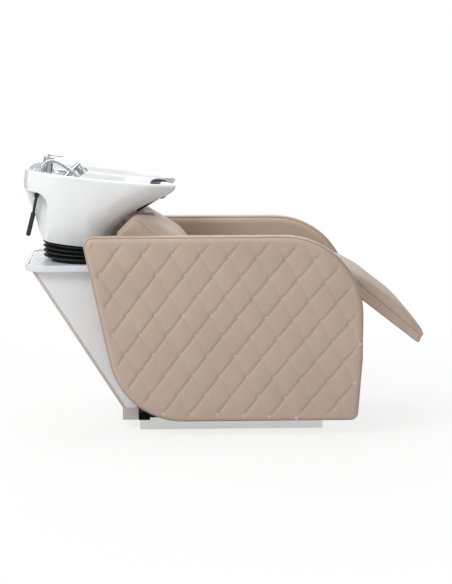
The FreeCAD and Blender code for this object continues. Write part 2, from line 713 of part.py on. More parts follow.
def arms():
    """Core panel, quilted outer pad, plain lining and a crowned border, on each side."""
    outline = arm_outline()
    panel, padded = inset(outline, size("arm_border")), inset(outline, size("arm_edge"))
    inner = number("arm_gap / 2")
    lined = inner + size("arm_lining")
    cored = lined + size("arm_core")
    outer = cored + size("arm_pad")

    pad = slab(padded, cored, outer)
    pad = pad.makeFillet(size("arm_pad_round"), edges_at(pad, outer))
    pad = pad.cut(quilting(outer))
    lining = slab(padded, inner, lined)
    lining = lining.makeFillet(size("arm_pad_round"), edges_at(lining, inner))
    core = slab(panel, lined, cored)
    border = slab(outline, lined, cored)
    border = border.makeFillet(size("arm_edge"), edges_at(border, lined) + edges_at(border, cored))
    border = border.cut(core)

    drill = bolt_solids(number("arm_bolt_radius + running_clearance"), 0)
    for label, shape in (("outer_pad", pad), ("inner_pad", lining.cut(drill)), ("core", core.cut(drill)),
                         ("border", border)):
        feature("far_arm_" + label, shape)
        feature("near_arm_" + label, mirrored(shape))
    bolts = bolt_solids(size("arm_bolt_radius"), size("arm_bolt_head"))
    feature("arm_bolts", Part.makeCompound(bolts + [mirrored(bolt) for bolt in bolts]))


def bolt_solids(radius, head):
    """Arm bolts of one side, from inside the legs into the arm's core."""
    rear, front = number(f"{REAR_RAIL} + rail_width / 2"), number(f"{FRONT_RAIL} + rail_width / 2")
    start = number("arm_gap / 2 - frame_tube")
    length = number("frame_tube + arm_lining + arm_bolt_grip")
    solids = []
    for x, height in ((rear, "rear_bolt_height"), (front, "front_bolt_height")):
        for z in bolt_places(height):
            bolt = Part.makeCylinder(radius, length, Vector(x, start, z), Vector(0, 1, 0))
            if head:
                cap = Part.makeCylinder(1.7 * radius, head, Vector(x, start - head, z), Vector(0, 1, 0))
                bolt = bolt.fuse(cap).removeSplitter()
            solids.append(bolt)
    return solids


# Leg rest
def leg_pivot():
    """Centre of the leg rest hinge, just in front of the seat cushion."""
    return Vector(number("seat_front_x + hinge_eye + leg_gap"), 0, size("leg_pivot_z"))


def leg_place():
    """The leg rest's own frame: origin on the hinge, +X down its slope."""
    return Placement(leg_pivot(), Rotation(Vector(0, 1, 0), size("leg_slope")))


def leg_rest():
    """Board, crowned cushion and the two hinge straps that carry them."""
    start, length = size("leg_pivot_back"), size("leg_length")
    half = number("leg_width / 2")
    board, top = size("leg_board"), size("leg_thickness")
    margin = number("leg_board / 2")
    plank = [(start + margin, 0, 1.0), (start + length - margin, 0, 8.0),
             (start + length - margin, board, 1.0), (start + margin, board, 1.0)]
    feature("leg_rest_board", slab(plank, margin - half, half - margin), leg_place())
    high = top + size("leg_crown")
    pad = [(start, board, 6.0), (start + length, board, 22.0), (start + length, high, 26.0),
           (start, high, 30.0)]
    feature("leg_rest_cushion", crowned(pad, half, size("leg_crown"), (0, 1)), leg_place())

    eye, thick, wide = size("hinge_eye"), size("strap_thickness"), size("strap_width")
    middle = number("strap_spread / 2")
    strap = Part.makeBox(size("strap_length"), wide, thick, Vector(0, middle - wide / 2, -thick))
    knuckle = Part.makeCylinder(eye, wide, Vector(0, middle - wide / 2, 0), Vector(0, 1, 0))
    bore = Part.makeCylinder(number("hinge_pin_radius + running_clearance"), 3 * wide,
                             Vector(0, middle - 1.5 * wide, 0), Vector(0, 1, 0))
    feature("leg_rest_straps", pair(strap.fuse(knuckle).removeSplitter().cut(bore)), leg_place())


def leg_hinges():
    """Fixed plates on the seat's front bar, and the pins through them."""
    pin, eye, thick = leg_pivot(), size("hinge_eye"), size("hinge_plate")
    wide, middle = size("strap_width"), number("strap_spread / 2")
    tube = size("frame_tube")
    bar_frame = bar_place(number("seat_front_x - deck_thickness - frame_tube"))
    low, high = bar_frame.multVec(Vector(tube, 0, -tube)), bar_frame.multVec(Vector(tube, 0, -0.3 * tube))
    front = size("seat_front_x") + size("leg_gap") / 2
    outline = [(low.x, low.z, 1.0), (front + eye, low.z, eye), (pin.x + eye, pin.z - 2 * eye, eye),
               (pin.x + eye, pin.z + eye, 0.95 * eye), (front, pin.z + eye, 0.6 * eye),
               (front, high.z, 1.0), (high.x, high.z, 1.0)]
    hole = Part.makeCylinder(size("hinge_pin_radius"), 4 * wide, Vector(pin.x, middle - 2 * wide, pin.z),
                             Vector(0, 1, 0))
    offset = wide / 2 + size("side_play")
    plates = [slab(outline, middle + start, middle + start + thick).cut(hole)
              for start in (offset, -offset - thick)]
    feature("leg_hinge_plates", Part.makeCompound(plates + [mirrored(plate) for plate in plates]))

    head = size("hinge_pin_radius") * 0.6
    reach = offset + thick
    shaft = Part.makeCylinder(size("hinge_pin_radius"), 2 * reach, Vector(pin.x, middle - reach, pin.z),
                              Vector(0, 1, 0))
    heads = [Part.makeCylinder(1.5 * size("hinge_pin_radius"), head, Vector(pin.x, middle + y, pin.z),
                               Vector(0, 1, 0)) for y in (-reach - head, reach)]
    feature("leg_hinge_pins", pair(shaft.multiFuse(heads).removeSplitter()))


# Column
COLUMN_TOP = "( tray_top - tray_lip_height - tray_wall )"
COLUMN_SLANT = f"( ( column_foot_x - column_top_x ) / ( {COLUMN_TOP} - column_foot_z ) )"
REAR_REACH = f"rear_panel * sqrt( 1 + {COLUMN_SLANT} * {COLUMN_SLANT} )"


def column():
    """White side panels, a slanted rear board, a plinth below and steel posts inside."""
    side = [("column_front_x", "column_foot_z"), ("column_front_x", COLUMN_TOP),
            (f"column_top_x + {REAR_REACH}", COLUMN_TOP), (f"column_foot_x + {REAR_REACH}", "column_foot_z")]
    middle = "( column_width / 2 - column_panel / 2 )"
    keep(plate("near_column_panel", side, "column_panel", f"- {middle}"), "near_column_panel")
    keep(plate("far_column_panel", side, "column_panel", middle), "far_column_panel")
    rear = [("column_foot_x", "column_foot_z"), (f"column_foot_x + {REAR_REACH}", "column_foot_z"),
            (f"column_top_x + {REAR_REACH}", COLUMN_TOP), ("column_top_x", COLUMN_TOP)]
    keep(plate("rear_panel_board", rear, "column_width", "0"), "column_rear_panel")

    high = "column_foot_z - plinth_bottom"
    outer = block("plinth_outer", f"{REAR_RAIL} - column_foot_x", "column_width", high,
                  "column_foot_x", "0", "plinth_bottom")
    inner = block("plinth_inner", f"{REAR_RAIL} - column_foot_x", "column_width - 2 * column_panel",
                  "column_foot_z", "column_foot_x + column_panel", "0", "0")
    keep(cut("plinth", outer, inner), "column_plinth")


def column_frame():
    """Two posts on the tails of the side rails, with arms out under the tray."""
    tube, y = size("post_tube"), number("side_rail_spread / 2")
    left = number(f"column_foot_x + {REAR_REACH}") + size("side_play")
    right = left + tube
    top = number(f"{COLUMN_TOP} - tilt_plate")
    floor = number("base_height + rail_height")
    slant = number(COLUMN_SLANT)
    tail = number(f"column_top_x + {REAR_REACH}") + slant * 2 * tube
    wall = size("tube_wall")

    def hollow(low, high, along):
        shell = Part.makeBox(high.x - low.x, tube, high.z - low.z, low)
        step = Vector(wall, wall, wall) - along * 2 * wall
        space = high - low - step * 2
        return shell.cut(Part.makeBox(space.x, tube - 2 * wall, space.z, low + step))

    post = hollow(Vector(left, y - tube / 2, floor), Vector(right, 0, top - tube), Vector(0, 0, 1))
    arm = hollow(Vector(tail, y - tube / 2, top - tube), Vector(right, 0, top), Vector(1, 0, 0))
    feature("column_posts", pair(post))
    feature("column_arms", pair(arm))


def tray():
    """Moulded tray with a raised lip, open under the bellows."""
    rear, front, half = size("tray_rear_x"), size("tray_front_x"), number("tray_width / 2")
    curve, tight = size("tray_corner"), size("tray_front_corner")
    outline = [(rear, -half, curve), (front, -half, tight), (front, half, tight), (rear, half, curve)]
    top, bottom = size("tray_top"), number("tray_top - tray_depth")
    floor, under = number("tray_top - tray_lip_height"), number(COLUMN_TOP)

    def layer(depth, low, high):
        return Part.Face(rounded(inset(outline, depth), on_level(low))).extrude(Vector(0, 0, high - low))

    body = layer(0, bottom, top)
    rim = [edge for edge in body.Edges if edge.BoundBox.ZMin > top - 1e-3]
    body = body.makeFillet(size("tray_wall") * 0.8, rim)
    body = body.cut(layer(size("tray_lip"), floor, top + 1))
    body = body.cut(layer(size("tray_wall"), bottom - 1, under))
    hole = Part.makeCylinder(size("tray_hole"), number("2 * tray_depth"), Vector(size("pivot_x"), 0, bottom))
    feature("column_tray", body.cut(hole))


# Tilt of the basin
def tilt_joint():
    """Bracket on the column arms, pin, and yoke under the basin."""
    x, z = size("pivot_x"), size("pivot_z")
    plate_top = number(COLUMN_TOP)
    thick, ear, eye = size("tilt_plate"), size("tilt_ear"), size("tilt_eye")
    pin = size("tilt_pin_radius")
    half = number("yoke_width / 2 + side_play")
    span = number("side_rail_spread / 2 + post_tube / 2")
    foot = number("yoke_length / 2")

    def across(radius, reach, height):
        return Part.makeCylinder(radius, 2 * reach, Vector(0, -reach, height), Vector(0, 1, 0))

    low = plate_top - z
    base_plate = Part.makeBox(2 * foot, 2 * span, thick, Vector(-foot, -span, low - thick))
    cheek = [(-foot * 0.8, low - 1, 1.0), (foot * 0.8, low - 1, 1.0),
             (eye, eye, eye * 0.95), (-eye, eye, eye * 0.95)]
    bracket = base_plate.multiFuse([slab(cheek, half, half + ear), slab(cheek, -half - ear, -half)])
    bracket = bracket.removeSplitter().cut(across(pin, 2 * half, 0))
    feature("tilt_bracket", bracket, Placement(Vector(x, 0, z), Rotation()))

    reach = half + ear
    shaft = across(pin, reach, 0)
    heads = [Part.makeCylinder(1.5 * pin, pin / 2, Vector(0, y, 0), Vector(0, 1, 0))
             for y in (-reach - pin / 2, reach)]
    feature("tilt_pin", shaft.multiFuse(heads).removeSplitter(), Placement(Vector(x, 0, z), Rotation()))

    ceiling = number("bowl_floor - bowl_base")
    wide = number("yoke_width / 2")
    top_plate = Part.makeBox(2 * foot, 2 * wide, thick, Vector(-foot, -wide, ceiling - thick))
    drop = [(-foot * 0.8, ceiling - thick + 1, 1.0), (-eye, -eye, eye * 0.95), (eye, -eye, eye * 0.95),
            (foot * 0.8, ceiling - thick + 1, 1.0)]
    yoke = top_plate.multiFuse([slab(drop, wide - ear, wide), slab(drop, -wide, ear - wide)])
    yoke = yoke.removeSplitter().cut(across(number("tilt_pin_radius + running_clearance"), 2 * half, 0))
    feature("tilt_yoke", yoke, basin_place())


def ring(centre, tilt, radius):
    """A circle in a plane tipped forward by tilt degrees."""
    normal = Vector(math.sin(math.radians(tilt)), 0, math.cos(math.radians(tilt)))
    return Part.Wire(Part.makeCircle(radius, centre, normal))


def bellows():
    """Rubber folds between the tray and the tipped foot of the basin."""
    floor = number("tray_top - tray_lip_height")
    low = Vector(size("pivot_x"), 0, floor + size("bellows_collar_height"))
    high = basin_place().multVec(Vector(-size("bellows_shift"), 0, size("foot_height")))
    tilt, folds = size("rest_tilt"), int(size("bellows_folds"))
    steps = 2 * folds

    def stack(depth):
        rings = [ring(Vector(low.x, 0, floor), 0, size("bellows_collar") - depth),
                 ring(low, 0, size("bellows_collar") - depth)]
        for step in range(1, steps):
            share = step / steps
            crest = size("bellows_fold") + share * number("bellows_high_fold - bellows_fold")
            radius = crest if step % 2 else crest - size("bellows_pleat")
            rings.append(ring(low + (high - low) * share, tilt * share, radius - depth))
        rings.append(ring(high, tilt, size("bellows_top") - depth))
        return Part.makeLoft(rings, True, True)

    feature("bellows", stack(0).cut(stack(size("bellows_wall"))))


# Basin, in its own level frame
def basin_outline(rear, front, half):
    """Egg-shaped outline in plan, round at the rear and blunt at the front."""
    near = [(-rear, 0.5, 0.9), (-0.86 * rear, 0.8, 0.9), (-0.5 * rear, 0.985, 1.2), (0.1 * front, 1.01, 2.0),
            (0.6 * front, 0.94, 1.0), (front, 0.58, 0.13)]
    corners = [(x, -width * half, bend * half) for x, width, bend in near]
    return corners + [(x, width * half, bend * half) for x, width, bend in reversed(near)]


def front_at(height):
    """Where the sloping front lies at a height."""
    climb = height - size("front_slope_low")
    return size("front_slope_x") + climb / math.tan(math.radians(size("front_slope")))


def egg_loft(sections):
    """A solid through level outlines, each given as height, rear, front and half width."""
    wires = [rounded(basin_outline(rear, front, half), on_level(z)) for z, rear, front, half in sections]
    return Part.makeLoft(wires, True)


def notch_axis():
    """Centre in plan of the round neck notch."""
    return number("basin_front - notch_reach + notch_radius")


def skirt_sections(wall):
    """Levels of the outer form below the rim, drawn in by wall: height, rear, front and half width."""
    rim, foot = size("rim_height"), size("foot_height")
    apron = number("rim_height - apron_height")
    half, foot_half = number("basin_width / 2"), number("foot_width / 2")
    edge = number("rim_wall * 0.4")
    low, high = foot + 0.29 * (apron - foot), foot + 0.64 * (apron - foot)
    blunt = rim - size("horn_depth")
    rear, foot_rear = size("basin_rear") - edge, size("foot_rear")
    levels = [(foot, foot_rear, size("foot_front"), 0),
              (low, foot_rear + 0.3 * (rear - foot_rear), size("foot_front") - edge, 0.37),
              (high, foot_rear + 0.56 * (rear - foot_rear), front_at(high), 0.7),
              (apron, rear - edge, front_at(apron), 0.9),
              (blunt, size("basin_rear") - 0.2 * edge, front_at(blunt) + edge, 0.985),
              (rim - edge, size("basin_rear"), size("basin_front"), 1)]
    return [(z, back - wall, front - wall, foot_half + share * (half - foot_half) - wall)
            for z, back, front, share in levels]


def flank_recess(wall):
    """The two hollows beside the spine, under the apron, grown by wall."""
    apron, edge = number("rim_height - apron_height"), number("rim_wall * 0.4")
    rear = size("basin_rear")
    outer = 2 * rear
    recess = [(-outer, apron + edge, 1.0), (-outer, -outer, 1.0), (-0.51 * rear, -outer, 1.0),
              (-0.61 * rear, apron - edge, size("recess_radius"))]
    flank = slab(inset(recess, -wall), number("spine_width / 2") - wall, outer)
    return [flank, mirrored(flank)]


def basin_body():
    """Outer form: foot, swelling flanks, sloping front, and an apron over two flank recesses."""
    rim, half = size("rim_height"), number("basin_width / 2")
    edge = number("rim_wall * 0.4")
    body = egg_loft(skirt_sections(0))
    outline = basin_outline(size("basin_rear"), size("basin_front"), half)
    lip = Part.makeLoft([rounded(outline, on_level(rim - edge)),
                         rounded(inset(outline, edge), on_level(rim))], True, True)
    return body.fuse(lip).removeSplitter().cut(flank_recess(0))


def bowl_loft(shell, base):
    """The bowl itself, grown by the ceramic round it and under its floor."""
    half, floor = number("basin_width / 2"), size("bowl_floor")
    wall, rear = size("bowl_wall"), size("deck_front")
    deck = number("rim_height - deck_drop")
    deep = deck - floor
    levels = [(0, 0.76, 0.3 * (front_at(floor + deep / 2) - wall), 0.34),
              (0.27, 0.89, front_at(floor + 0.27 * deep) - 1.4 * wall, 0.7),
              (0.62, 0.97, front_at(floor + 0.62 * deep) - 1.3 * wall, 0.89),
              (1, 1, front_at(deck) - 1.3 * wall, 0.97)]
    return egg_loft([(floor + share * (deep + 1) - (1 - share) * base, back * rear + shell,
                      front + 1.8 * shell, width * (half - wall) + shell)
                     for share, back, front, width in levels])


def bowl_space():
    """Everything taken out of the top of the basin: the tap deck and the bowl, up to the neck lip."""
    rim, deck = size("rim_height"), number("rim_height - deck_drop")
    edge, thin = number("rim_wall * 0.4"), size("rim_wall")
    outline = basin_outline(size("basin_rear"), size("basin_front"), number("basin_width / 2"))
    inner = inset(outline, thin)
    deck_cut = Part.Face(rounded(inner, on_level(deck))).extrude(Vector(0, 0, rim))
    mouth = Part.makeLoft([rounded(inner, on_level(rim - edge)),
                           rounded(inset(outline, thin - 2 * edge), on_level(rim + edge))], True, True)
    space = deck_cut.fuse(mouth).fuse(bowl_loft(0, 0))
    lip_radius = number("notch_radius + lip_wall")
    return space.cut(Part.makeCylinder(lip_radius, 2 * rim, Vector(notch_axis(), 0, 0)))


def neck_space():
    """The round neck notch, and the lowered lip behind it."""
    rim, axis = size("rim_height"), Vector(notch_axis(), 0, 0)
    through = Part.makeCylinder(size("notch_radius"), 2 * rim, axis)
    sweep = size("lip_angle")
    past = number("notch_radius + lip_wall + rim_wall")
    sector = Part.makeCylinder(past, rim, axis, Vector(0, 0, 1), sweep)
    sector.rotate(axis, Vector(0, 0, 1), 180 - sweep / 2)
    sector.translate(Vector(0, 0, number("rim_height - lip_drop")))
    behind = number("notch_radius + lip_wall")
    outer = behind + number("neck_thickness + 2 * neck_gap")
    deep = number("neck_inner_flap + neck_gap")
    groove = Part.makeCylinder(outer, deep, axis, Vector(0, 0, 1), sweep)
    groove = groove.cut(Part.makeCylinder(behind, rim, axis))
    groove.rotate(axis, Vector(0, 0, 1), 180 - sweep / 2)
    groove.translate(Vector(0, 0, number("rim_height - lip_drop") - deep))
    return [through, sector, groove]


def hidden_space():
    """The hollow between the bowl and the outer walls, open under the foot."""
    top = number("rim_height - deck_drop - tap_deck")
    wall = size("skirt_wall")
    levels = skirt_sections(wall)
    levels[0] = (levels[0][0] + 1,) + levels[0][1:]
    space = egg_loft(levels).cut(bowl_loft(size("bowl_shell"), size("bowl_base")))
    wide = number("basin_rear + basin_front + basin_width")
    above = Part.makeBox(2 * wide, 2 * wide, wide, Vector(-wide, -wide, top))
    past = number("notch_radius + lip_wall + skirt_wall")
    neck = Part.makeCylinder(past, 2 * top, Vector(notch_axis(), 0, 0))
    foot = basin_outline(size("foot_rear"), size("foot_front"), number("foot_width / 2"))
    mouth = Part.Face(rounded(inset(foot, size("foot_wall")), on_level(0)))
    mouth = mouth.extrude(Vector(0, 0, size("foot_height") + 1))
    return space.cut([above, neck] + flank_recess(wall)).fuse(mouth)


def basin():
    """Glazed ceramic basin with its holes for the waste, the tap and the hose."""
    deck = number("rim_height - deck_drop")
    depth = size("rim_height")
    under = deck - 2 * size("tap_deck")
    holes = [(-size("waste_x"), 0, 0, number("waste_radius + side_play")),
             (-size("mixer_x"), 0, under, number("mixer_shank + side_play")),
             (-size("bush_x"), -size("bush_y"), under, number("bush_radius * 0.7 + side_play"))]
    drills = [Part.makeCylinder(radius, depth, Vector(x, y, z)) for x, y, z, radius in holes]
    shape = basin_body().cut(bowl_space()).cut(neck_space()).cut(hidden_space()).cut(drills)
    feature("basin", shape, basin_place())


def neck_rest():
    """Gel pad hooked over the lowered lip, with a flap down the sloping front."""
    gap, thick = size("neck_gap"), size("neck_thickness")
    lip = number("rim_height - lip_drop")
    front = size("notch_radius") - gap
    behind = number("notch_radius + lip_wall") + gap
    top = lip + size("neck_crown")
    edge = thick * 0.8
    profile = [(front - thick, lip - size("neck_outer_flap")), (front, lip - size("neck_outer_flap")),
               (front, lip + gap), (behind, lip + gap), (behind, lip - size("neck_inner_flap")),
               (behind + thick, lip - size("neck_inner_flap")), (behind + thick, top - edge), (behind, top),
               (front, top), (front - thick, top - edge)]
    points = [Vector(radius, 0, z) for radius, z in profile]
    sweep = size("lip_angle") - 2
    pad = Part.Face(Part.makePolygon(points + points[:1])).revolve(Vector(0, 0, 0), Vector(0, 0, 1), sweep)
    pad.rotate(Vector(0, 0, 0), Vector(0, 0, 1), 180 - sweep / 2)
    pad.translate(Vector(notch_axis(), 0, 0))
    slope = math.radians(size("front_slope"))
    along = Vector(-math.cos(slope), 0, -math.sin(slope)) * size("neck_under_flap")
    below = Vector(math.sin(slope), 0, -math.cos(slope))
    edge_x = notch_axis() - size("notch_radius")
    edge_z = size("front_slope_low") + (edge_x - size("front_slope_x")) * math.tan(slope)
    start = Vector(edge_x, 0, edge_z) + below * thick * 0.4
    half = number("neck_under_width / 2")
    corners = [start, start + below * thick * 0.7, start + below * thick * 0.7 + along, start + along]
    corners = [corner + Vector(0, -half, 0) for corner in corners]
    flap = Part.Face(Part.makePolygon(corners + corners[:1])).extrude(Vector(0, 2 * half, 0))
    dip = Part.makeCylinder(size("neck_dip"), 4 * front, Vector(0, 0, (lip + top) / 2 + size("neck_dip")),
                            Vector(1, 0, 0))
    feature("neck_rest", pad.fuse(flap).removeSplitter().cut(dip), basin_place())


# Waste
def upright(radius, low, high, x, y=0):
    """A round bar standing in the basin's frame."""
    return Part.makeCylinder(radius, high - low, Vector(x, y, low))


def waste():
    """Strainer on the bowl floor, and the tube under it that the drain hose pushes on to."""
    x, floor = -size("waste_x"), size("bowl_floor")
    outer, wall = size("waste_radius"), size("waste_wall")
    under = number("bowl_floor - bowl_base")
    nut = upright(1.35 * outer, under - 2.5 * wall, under, x)
    tube = upright(outer, -size("waste_drop"), floor, x).fuse(nut).removeSplitter()
    bore = upright(outer - wall, -rim_depth(), floor + 1, x)
    feature("waste_tube", tube.cut(bore), basin_place())

    inner = number("waste_radius - waste_wall - running_clearance")
    tail = upright(inner, floor - 4 * wall, floor + wall, x).cut(upright(inner - wall, 0, floor, x))
    plug = upright(size("waste_flange"), floor, floor + wall, x)
    drill, pitch = 0.2 * inner, 0.55 * inner
    holes = [upright(drill, 0, 2 * floor, x + pitch * math.cos(turn), pitch * math.sin(turn))
             for turn in (math.radians(60 * step) for step in range(6))]
    strainer = plug.fuse(tail).removeSplitter().cut(holes + [upright(drill, 0, 2 * floor, x)])
    feature("waste_strainer", strainer, basin_place())


def rim_depth():
    """A length that reaches past the whole basin."""
    return number("2 * rim_height")


# Mixer tap
def mixer():
    """Body clamped through the tap deck, turning cap, and the handle hinged between its ears."""
    x, deck = -size("mixer_x"), number("rim_height - deck_drop")
    low, top = deck - size("mixer_shank_length"), deck + size("mixer_height")
    radius, shank = size("mixer_radius"), size("mixer_shank")
    spigot, play = size("cap_spigot"), size("side_play")
    cap_top = top + size("cap_height")
    shoulder = top + 0.6 * size("cap_height")
    body = upright(shank, low, deck + 1, x).multiFuse(
        [upright(1.25 * radius, deck, deck + 0.25 * radius, x), upright(radius, deck, top, x),
         upright(spigot, top, shoulder, x)]).removeSplitter()
    inlets = [upright(size("mixer_inlet"), low - 1, low + size("mixer_inlet_depth"), x, side * 0.48 * shank)
              for side in (-1, 1)]
    feature("mixer_body", body.cut(inlets), basin_place())

    under = number("rim_height - deck_drop - tap_deck")
    nut = upright(1.5 * shank, under - 0.8 * shank, under, x)
    thread = upright(number("mixer_shank + running_clearance"), 0, deck, x)
    feature("mixer_nut", nut.cut(thread), basin_place())

    ear, hub = size("handle_hinge"), size("handle_thickness")
    hinge = Vector(x, 0, cap_top + 1.2 * hub)
    gap = size("handle_hub") / 2 + play
    cap = upright(0.95 * radius, top + play, cap_top, x)
    for side in (gap, -gap - ear):
        lug = Part.makeBox(2 * hub, ear, 1.2 * hub + 1, Vector(x - hub, side, cap_top - 1))
        knuckle = Part.makeCylinder(hub, ear, Vector(x, side, hinge.z), Vector(0, 1, 0))
        cap = cap.multiFuse([lug, knuckle])
    cap = cap.removeSplitter().cut([upright(number("cap_spigot + running_clearance"), 0, shoulder + play, x),
                                    across_bar(0.5 * hub + size("running_clearance"), 2 * radius, hinge)])
    feature("mixer_cap", cap, basin_place())

    half = size("handle_hub") / 2
    trunnion = across_bar(0.5 * hub, gap + ear, hinge)
    barrel = across_bar(hub, half, hinge)
    reach, wide = size("handle_reach"), number("handle_width / 2")
    neck, flare = 2 * hub + half, 3 * hub + half
    side = [(0, half, 1.0), (neck, half, 0.8 * hub), (flare, wide, 1.6 * hub), (reach, wide, 0.9 * wide)]
    blade = [(along, -across, bend) for along, across, bend in side] + side[::-1]
    lever = Part.Face(rounded(blade, on_level(-hub / 2))).extrude(Vector(0, 0, hub))
    lever.translate(hinge)
    feature("mixer_handle", barrel.multiFuse([trunnion, lever]).removeSplitter(), basin_place())


def across_bar(radius, half, centre):
    """A round bar along Y, centred on a point."""
    return Part.makeCylinder(radius, 2 * half, centre - Vector(0, half, 0), Vector(0, 1, 0))


# Shower hose and handset
def handset_axis():
    """Foot of the handset's handle, and the way up along it."""
    lean = math.radians(size("handset_lean"))
    foot = Vector(-size("handset_x"), size("handset_y"), size("handset_z"))
    return foot, Vector(math.sin(lean), 0, math.cos(lean))


def hose_corners():
    """Corners of the hose's middle line: up from the bush, over beside the tap, and back up in the bowl."""
    deck, x, y = number("rim_height - deck_drop"), size("bush_x"), size("bush_y")
    crest = deck + size("hose_crest")
    foot, along = handset_axis()
    end = foot - along * number("hose_nut_length + neck_gap")
    last = end - along * number("hose_bend * 0.75")
    drop, floor = size("hose_fall"), size("bowl_floor")
    down = Vector(-0.05 * x, -0.8 * y, crest - drop)
    turn = Vector(-0.47 * x, 0.4 * y, floor + size("hose_lift"))
    return [Vector(-x, -y, deck - size("tap_deck")), Vector(-x, -y, crest),
            Vector(-x + size("hose_top"), -y, crest), down,
            down + Vector(-0.6 * y, 0.6 * y, -drop), turn, last, end]


def hose_path(corners, radius):
    """Straight runs joined by tangent arcs of one radius; also the length of the whole path."""
    edges, start = [], corners[0]
    for before, here, after in zip(corners, corners[1:], corners[2:]):
        back, ahead = (before - here).normalize(), (after - here).normalize()
        half = back.getAngle(ahead) / 2
        reach = radius / math.tan(half)
        crest = here + (back + ahead).normalize() * (radius / math.sin(half) - radius)
        enter, leave = here + back * reach, here + ahead * reach
        edges.append(Part.LineSegment(start, enter).toShape())
        edges.append(Part.Arc(enter, crest, leave).toShape())
        start = leave
    edges.append(Part.LineSegment(start, corners[-1]).toShape())
    return edges, sum(edge.Length for edge in edges)


def hose():
    """Flexible shower hose from the bush in the tap deck to the nut of the handset."""
    radius, bend = number("hose_diameter / 2"), size("hose_bend")
    corners = hose_corners()
    edges, length = hose_path(corners, bend)
    section = Part.Wire(Part.makeCircle(radius, corners[0], corners[1] - corners[0]))
    shape = Part.Wire(edges).makePipeShell([section], True, False)
    expected = math.pi * radius ** 2 * length
    share = shape.Volume / expected
    print(f"shower hose: length {length:.1f}, bend radius {bend:.1f}, volume {share:.4f} of plain")
    if abs(share - 1) > 0.01:
        raise RuntimeError("the shower hose is not a plain tube along its path")
    feature("shower_hose", shape, basin_place())

    x, y, deck = -size("bush_x"), -size("bush_y"), number("rim_height - deck_drop")
    low = deck - 1.5 * size("tap_deck")
    bush = upright(size("bush_radius"), deck, deck + size("bush_height"), x, y)
    sleeve = upright(0.7 * size("bush_radius"), low, deck + 1, x, y)
    bore = upright(radius + size("running_clearance"), 0, 2 * deck, x, y)
    feature("hose_bush", bush.fuse(sleeve).removeSplitter().cut(bore), basin_place())


def handset():
    """Hose nut, tapered handle with a nodding spray head, and the holder that it drops into."""
    foot, along = handset_axis()
    low, high, length = size("handset_foot_radius"), size("handset_neck_radius"), size("handset_length")
    nut = rod(foot - along * size("hose_nut_length"), foot, low)
    feature("hose_nut", nut, basin_place())

    neck = foot + along * length
    nod = math.radians(size("handset_nod"))
    facing = Vector(math.cos(nod), 0, -math.sin(nod))
    head, deep = size("handset_head_radius"), size("handset_head_length")
    rim = neck + facing * deep
    disc = 0.8 * head
    recess = 0.12 * head
    body = Part.makeCone(low, high, length, foot, along).multiFuse(
        [Part.makeSphere(high, neck), Part.makeCone(high, head, 0.55 * deep, neck, facing),
         rod(neck + facing * 0.55 * deep, rim, head)]).removeSplitter()
    feature("handset_body", body.cut(rod(rim - facing * recess, rim + facing, disc)), basin_place())
    plate_shape = rod(rim - facing * recess, rim, disc - size("running_clearance"))
    side = Vector(0, 1, 0)
    lift = facing.cross(side)
    jets = []
    for share, count in ((0.35, 6), (0.75, 12)):
        for step in range(count):
            turn = 2 * math.pi * step / count
            middle = rim + (side * math.cos(turn) + lift * math.sin(turn)) * share * disc
            jets.append(rod(middle - facing * recess / 2, middle + facing, 0.06 * head))
    feature("handset_face", plate_shape.cut(jets), basin_place())

    rise, height = size("holder_rise"), size("holder_height")
    bore = low + (high - low) * (rise + height) / length + size("neck_gap")
    outer = bore + size("holder_ring")
    centre = foot + along * (rise + height / 2)
    collar = rod(foot + along * rise, foot + along * (rise + height), outer)
    deck, post = number("rim_height - deck_drop"), size("holder_post")
    top = Vector(-size("holder_post_x"), size("holder_post_y"), centre.z)
    arm = rod(top, centre + side * bore, 0.65 * post)
    stem = upright(post, deck, top.z + post, top.x, top.y)
    foot_ring = upright(1.8 * post, deck, deck + 0.5 * post, top.x, top.y)
    holder = collar.multiFuse([arm, stem, foot_ring]).removeSplitter()
    feature("handset_holder", holder.cut(rod(foot, foot + along * length, bore)), basin_place())


# Lever that frees the tilt
def lever():
    """Boss and pin on the spine's flank, and a rod with a fat grip that hangs from them."""
    flank, x, z = -number("spine_width / 2"), -size("lever_x"), size("lever_z")
    thick, play, pin = size("lever_rod"), size("side_play"), size("lever_pin_radius")
    middle = flank - size("lever_stand_off")
    inner, outer = middle + thick / 2, middle - thick / 2

    def along_y(start, end, radius):
        return rod(Vector(x, start, z), Vector(x, end, z), radius)

    boss = along_y(flank, inner + play, 2.5 * pin)
    feature("lever_bracket", boss.cut(along_y(flank + 1, outer, pin)), basin_place())
    head = along_y(outer - play, outer - play - pin / 2, 1.7 * pin)
    feature("lever_pin", along_y(flank, outer - play, pin).fuse(head).removeSplitter(), basin_place())

    eye = Vector(x, middle, z)
    lean, kick = size("lever_lean"), size("lever_lean") + size("lever_kick")
    down = Vector(-math.sin(math.radians(lean)), 0, -math.cos(math.radians(lean)))
    trail = Vector(-math.sin(math.radians(kick)), 0, -math.cos(math.radians(kick)))
    joint = eye + down * size("lever_rod_length")
    slim = 0.46 * thick
    stick = along_y(inner, outer, 2.2 * pin).fuse(rod(eye + down * pin, joint, slim)).removeSplitter()
    feature("lever_rod", stick.cut(along_y(0, 2 * outer, pin + size("running_clearance"))), basin_place())

    grip, length = size("lever_grip_radius"), size("lever_grip_length")
    tip = joint + trail * length
    handle = rod(joint, tip, grip).multiFuse([Part.makeSphere(grip, joint), Part.makeSphere(grip, tip)])
    socket = rod(eye + down * 2 * pin, joint, slim)
    feature("lever_grip", handle.removeSplitter().cut(socket), basin_place())


base()
rails()
chair_frame()
seat()
back()
arms()
leg_rest()
leg_hinges()
column()
column_frame()
tray()
tilt_joint()
bellows()
basin()
neck_rest()
waste()
mixer()
hose()
handset()
lever()
doc.recompute()

